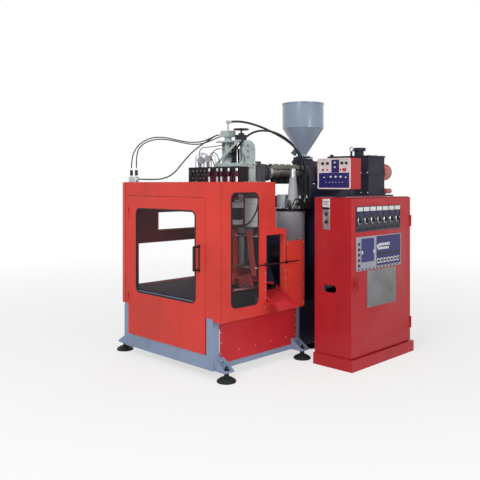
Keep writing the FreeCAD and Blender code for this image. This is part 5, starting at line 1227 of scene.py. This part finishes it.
@part("key_white", 0.0006, "cabinet_door")
def setting_label(mesh):
    """The setting units' blank labels."""
    for y in DIAL_PLACES:
        on_door(mesh, 7.5, 9.5, y - 49, 1530, 98, 40)


@part("panel_navy", 0.0006, "cabinet_door")
def setting_window(mesh):
    """Their small windows."""
    for y in DIAL_PLACES:
        on_door(mesh, 3, 8.6, y - 30, 1490, 60, 25)


@part("steel", 0.0006, "cabinet_door")
def setting_ring(mesh):
    """The bright rings round their knobs."""
    for y in DIAL_PLACES:
        lathe(mesh, (FACE + 6, y, DIAL_Z), RIGHT, [(37, -5), (37, 4), (32, 8), (30, 4), (30, -5)], 40)


@part("knob_black", 0.0006, "cabinet_door")
def setting_knob(mesh):
    """Their knobs."""
    profile = [(24, 0), (23, 10), (17, 13), (17, 22), (14, 25), (0, 25)]
    for y in DIAL_PLACES:
        lathe(mesh, (FACE + 12, y, DIAL_Z), RIGHT, profile, 28)


@part("key_white", 0.0006, "cabinet_door")
def setting_pointer(mesh):
    """The pointers on their knobs."""
    for y in DIAL_PLACES:
        on_door(mesh, 30, 37.4, y - 1.5, DIAL_Z + 5, 3, 13)


@part("knob_black", 0.0006, "cabinet_door")
def setting_button(mesh):
    """Three buttons under each of them."""
    for y in DIAL_PLACES:
        for offset in (-32, -4, 24):
            on_door(mesh, 6, 12, y + offset, 1346, 18, 20)


@part("screen_blue", body="cabinet_door")
def left_screen(mesh):
    on_door(mesh, 0, 4, 1282, 1032, 224, 228)


@part("panel_navy", body="cabinet_door")
def right_screen(mesh):
    on_door(mesh, 0, 4, 1547, 977, 457, 293)


KEY_LEFT = 1562
KEY_PITCH = 62


@part("key_white", body="cabinet_door")
def lower_keys(mesh):
    """The blank white keys on the right screen's field."""
    for column in range(6):
        for row in range(2):
            on_door(mesh, 3, 8, 1580 + column * 34 + row * 17, 1135 + row * 38, 26, 26)
    on_door(mesh, 3, 8, 1560, 1150, 40, 36)
    for column in range(7):
        on_door(mesh, 3, 7, KEY_LEFT + column * KEY_PITCH, 1000, 46, 46)


@part("knob_black", body="cabinet_door")
def lower_dark_keys(mesh):
    """The dark buttons on the lower keys, beside the left screen and under both, and the slot."""
    for column in range(7):
        place = (FACE + 6, KEY_LEFT + 23 + column * KEY_PITCH, 1023)
        lathe(mesh, place, RIGHT, [(15, 0), (15, 4), (12, 6), (0, 6)], 20)
    for row in range(5):
        on_door(mesh, 6, 12, 1222, 990 + row * 52, 34, 26)
    on_door(mesh, 3, 6, 1560, 1082, 432, 22)
    for column in range(12):
        on_door(mesh, 7, 9.5, 1222 + column * 64, 956, 24, 14)


@part("button_white", body="cabinet_door")
def bezel_trim(mesh):
    """The two white catches of the left screen."""
    for y in (1288, 1494):
        on_door(mesh, 3, 16, y, 1110, 10, 34)


@part("steel", 0, "cabinet_door")
def plate_screws(mesh):
    """The screws of the blank plate."""
    fasten(mesh, screw_head, (FACE + 4,), (1402, 1903), (587, 928), RIGHT, 5)


@part("cabinet_red")
def cabinet_side_ribs(mesh):
    """Two ribs on the cabinet's narrow side."""
    for x in (640, 662):
        slab(mesh, (x, 1120.5, 1180), (x + 4, 1123, 1640))


@part("window_rubber", 0)
def cabinet_seal_and_gap_shadow(mesh):
    """A dark seal behind the cabinet's door, which also serves as painted shadow in the door's gap."""
    edging(mesh, rounded_loop((1127, 116), (2215, 1657), 10, 3), ((-8, 0), (-2, 0), (-2, -3), (-8, -3)),
           lambda y, z, out: (FACE - 25 - out, y, z))


@part("key_white", 0.0004)
def switch_label(mesh):
    """The blank label over the side switches."""
    slab(mesh, (394, CABINET_LEFT - 1.4, 1570), (477, CABINET_LEFT, 1646))


@part("knob_black", 0.0004)
def switch_band(mesh):
    """The dark band under that label."""
    slab(mesh, (392, CABINET_LEFT - 1.8, 1544), (479, CABINET_LEFT, 1562))


@part("panel_navy", 0)
def switch_band_text_bars(mesh):
    """Three plain bars on the label."""
    for row in range(3):
        slab(mesh, (402, CABINET_LEFT - 1.8, 1588 + 16 * row), (469, CABINET_LEFT - 1.2, 1594 + 16 * row))


@part("knob_black", 0)
def switch_collars(mesh):
    """Flat collars round the side switches."""
    for z in (1499, 1420):
        lathe(mesh, (439, CABINET_LEFT, z), FRONT, [(21, 0), (21, 0.2), (16, 0.2)], 32)


# ---------------------------------------------------------------- pendant


def pendant_point(across, down):
    """A place on the pendant's face, by shares of its width from the left and its height from the top."""
    size = pendant_high - pendant_low
    return pendant_low.x + size.x * across, pendant_high.z - size.z * down


def field(mesh, left, low, right, high, depth=0.25):
    """A thin printed field between two places on the pendant's face."""
    x_low, z_low = pendant_point(left, low)
    x_high, z_high = pendant_point(right, high)
    slab(mesh, (x_low, PENDANT_FACE - depth, z_low), (x_high, PENDANT_FACE, z_high))


def on_pendant(mesh, places, profile, sides):
    """The same turned form at several places on the pendant's face."""
    for across, down in places:
        x, z = pendant_point(across, down)
        lathe(mesh, (x, PENDANT_FACE, z), FRONT, profile, sides)


def lamps(mesh, places, radius):
    """Domed lamps of one radius."""
    on_pendant(mesh, places, [(radius, 0), (radius, 5), (radius * 0.8, 9), (radius * 0.4, 11), (0, 11.5)], 24)


@part("panel_cream", 0, "pendant")
def pendant_cream(mesh):
    field(mesh, 0.03, 0.47, 0.97, 0.04)


@part("panel_navy", 0, "pendant")
def pendant_navy(mesh):
    field(mesh, 0.03, 0.96, 0.97, 0.47)


@part("panel_navy", 0, "pendant")
def pendant_block(mesh):
    """The dark field between the selectors."""
    field(mesh, 0.42, 0.465, 0.66, 0.05, 0.28)


@part("panel_cream", body="pendant")
def pendant_rim(mesh):
    """The raised rim round the pendant's face."""
    inset = 5
    loop = rounded_loop((pendant_low.x + inset, pendant_low.z + inset),
                        (pendant_high.x - inset, pendant_high.z - inset), 9, 3)
    edging(mesh, loop, ((-7, 0), (6, 0), (6, 6.5), (-7, 6.5)), lambda x, z, out: (x, PENDANT_FACE - out, z))


@part("button_white", body="pendant")
def pendant_lamps_white(mesh):
    lamps(mesh, ((0.53, 0.14), (0.53, 0.29)), 9)


@part("knob_black", body="pendant")
def pendant_lamps_dark(mesh):
    lamps(mesh, ((0.16, 0.37), (0.46, 0.22), (0.61, 0.22), (0.61, 0.37)), 10)


@part("stop_red", body="pendant")
def pendant_lamps_red(mesh):
    lamps(mesh, ((0.30, 0.37), (0.70, 0.37)), 9)


@part("key_white", 0, "pendant")
def pendant_dots(mesh):
    """Small white dots in a row, and two larger ones above."""
    on_pendant(mesh, [(0.26 + column * 0.1, 0.78) for column in range(6)], [(4, 0), (4, 3), (0, 3.5)], 14)
    on_pendant(mesh, ((0.20, 0.62), (0.86, 0.62)), [(7, 0), (7, 4), (0, 5)], 18)


@part("steel", 0, "pendant")
def pendant_collars(mesh):
    """Flat collars round the selectors and the stop button."""
    selectors = ((0.16, 0.16), (0.31, 0.16), (0.75, 0.16), (0.88, 0.16))
    on_pendant(mesh, selectors, [(17, 0), (17, 0.27), (13.5, 0.27)], 28)
    on_pendant(mesh, ((0.82, 0.37),), [(21, 0), (21, 0.27), (9.2, 0.27)], 28)


# ---------------------------------------------------------------- inside the cabinet

# The mounting plate's face, and the heights of the rails on it.
GEAR_BACK = 332
RAILS = (1390, 1090, 790, 490)


def on_plate(mesh, back, front, y, z, width, height):
    """A block on the mounting plate: how far out its back and front lie, its low corner and its size."""
    slab(mesh, (GEAR_BACK + back, y, z), (GEAR_BACK + front, y + width, z + height))


@part("bezel_grey", 0.0015)
def cabinet_ducts(mesh):
    """Cable ducts round the rails on the cabinet's mounting plate."""
    for z in RAILS:
        on_plate(mesh, -1, 50, 1194, z + 110, 957, 45)
    for y in (1150, 2150):
        on_plate(mesh, -1, 50, y, 330, 45, 1230)


@part("conduit_silver", 0.0005)
def cabinet_rails(mesh):
    """The rails that the switchgear is clipped on."""
    for z in RAILS:
        on_plate(mesh, -1, 7, 1212, z - 17, 920, 34)


@part("key_white")
def cabinet_breakers(mesh):
    """Three-pole breakers with their levers on every second rail."""
    for z in RAILS[::2]:
        for number in range(14):
            y = 1232 + 60 * number
            on_plate(mesh, 6, 50, y, z - 43, 54, 86)
            on_plate(mesh, 49, 68, y, z - 22, 54, 44)
            on_plate(mesh, 67, 78, y + 6, z - 4, 42, 16)


@part("instrument_black", 0.0012)
def cabinet_contactors(mesh):
    """Contactors with their overload relays on the other rails."""
    for z in RAILS[1::2]:
        for number in range(12):
            y = 1236 + 72 * number
            on_plate(mesh, 6, 84, y, z - 38, 52, 82)
            on_plate(mesh, 83, 92, y + 10, z - 14, 32, 36)
            on_plate(mesh, 10, 70, y + 2, z - 88, 48, 49)


# ---------------------------------------------------------------- floor, light and camera

FLOOR_SPAN = 14
FADE_START = 2.0
FADE_END = 9.0
ROOM_LIGHT = 0.42


def seen_directly(tree):
    """1 for rays from the camera, off metal or through glass, so that all of them show a white room."""
    rays = add(tree, "ShaderNodeLightPath")
    value = rays.outputs["Is Camera Ray"]
    for kind in ("Is Glossy Ray", "Is Transmission Ray"):
        value = combined(tree, "MAXIMUM", value, rays.outputs[kind])
    return value


def floor_material():
    """Pale grey that turns into plain white away from the machine."""
    tree, shader = new_material("floor")
    shader.inputs["Base Color"].default_value = (0.85, 0.85, 0.85, 1)
    shader.inputs["Roughness"].default_value = 0.9
    glow = add(tree, "ShaderNodeEmission", Strength=1.0, Color=(1, 1, 1, 1))
    length = add(tree, "ShaderNodeVectorMath", operation="LENGTH")
    tree.links.new(position(tree), length.inputs[0])
    direct = seen_directly(tree)
    far = grey(tree, length.outputs["Value"], FADE_START, FADE_END, 0.66, 1.0)
    share = combined(tree, "MULTIPLY", direct, far)
    blend = add(tree, "ShaderNodeMixShader")
    tree.links.new(share, blend.inputs["Fac"])
    tree.links.new(shader.outputs["BSDF"], blend.inputs[1])
    tree.links.new(glow.outputs["Emission"], blend.inputs[2])
    tree.links.new(blend.outputs["Shader"], tree.nodes["Material Output"].inputs["Surface"])


def floor():
    """The flat floor that the machine stands on."""
    floor_material()
    mesh = bmesh.new()
    corners = ((-1, -1), (1, -1), (1, 1), (-1, 1))
    mesh.faces.new([mesh.verts.new((x * FLOOR_SPAN, y * FLOOR_SPAN, 0)) for x, y in corners])
    data = bpy.data.meshes.new("floor")
    mesh.to_mesh(data)
    mesh.free()
    data.materials.append(MATERIALS["floor"])
    in_scene("floor", data)


def room():
    """A white world that lights the machine less than it shows."""
    world = bpy.data.worlds.new("studio")
    world.use_nodes = True
    tree = world.node_tree
    background = tree.nodes["Background"]
    background.inputs["Color"].default_value = (1, 1, 1, 1)
    level = add(tree, "ShaderNodeMapRange")
    level.inputs["To Min"].default_value = ROOM_LIGHT
    level.inputs["To Max"].default_value = 1.0
    tree.links.new(seen_directly(tree), level.inputs["Value"])
    tree.links.new(level.outputs["Result"], background.inputs["Strength"])
    bpy.context.scene.world = world


def light(name, place, height, power):
    """A round lamp that looks at the machine's middle, at a height in metres."""
    lamp = bpy.data.lights.new(name, "AREA")
    lamp.shape = "DISK"
    lamp.size = 3.0
    lamp.energy = power
    item = in_scene(name, lamp)
    item.location = place
    item.rotation_euler = (Vector((0, 0, height)) - Vector(place)).to_track_quat("-Z", "Y").to_euler()


def photograph_camera():
    """The camera that took the photograph. Its lens and middle are in the picture's pixels."""
    pixels, lens, middle_x, middle_y = 480, 627.5, 240.3, 183.5
    eye, turn = (4199, -3871, 1800), 44.82
    data = bpy.data.cameras.new("camera")
    camera = in_scene("camera", data)
    camera.location = at(*eye)
    camera.rotation_euler = (math.radians(90), 0, math.radians(turn))
    data.sensor_width = 36
    data.lens = lens / pixels * data.sensor_width
    data.shift_x = (pixels / 2 - middle_x) / pixels
    data.shift_y = (middle_y - pixels / 2) / pixels
    bpy.context.scene.camera = camera


floor()
room()
light("key", (2.0, -6.5, 5.0), 1, 230)
light("fill", (7.0, -1.5, 3.0), 1, 140)
light("back", (-5.0, 5.0, 5.0), 1.5, 90)
photograph_camera()
bpy.context.scene.view_settings.view_transform = "Standard"
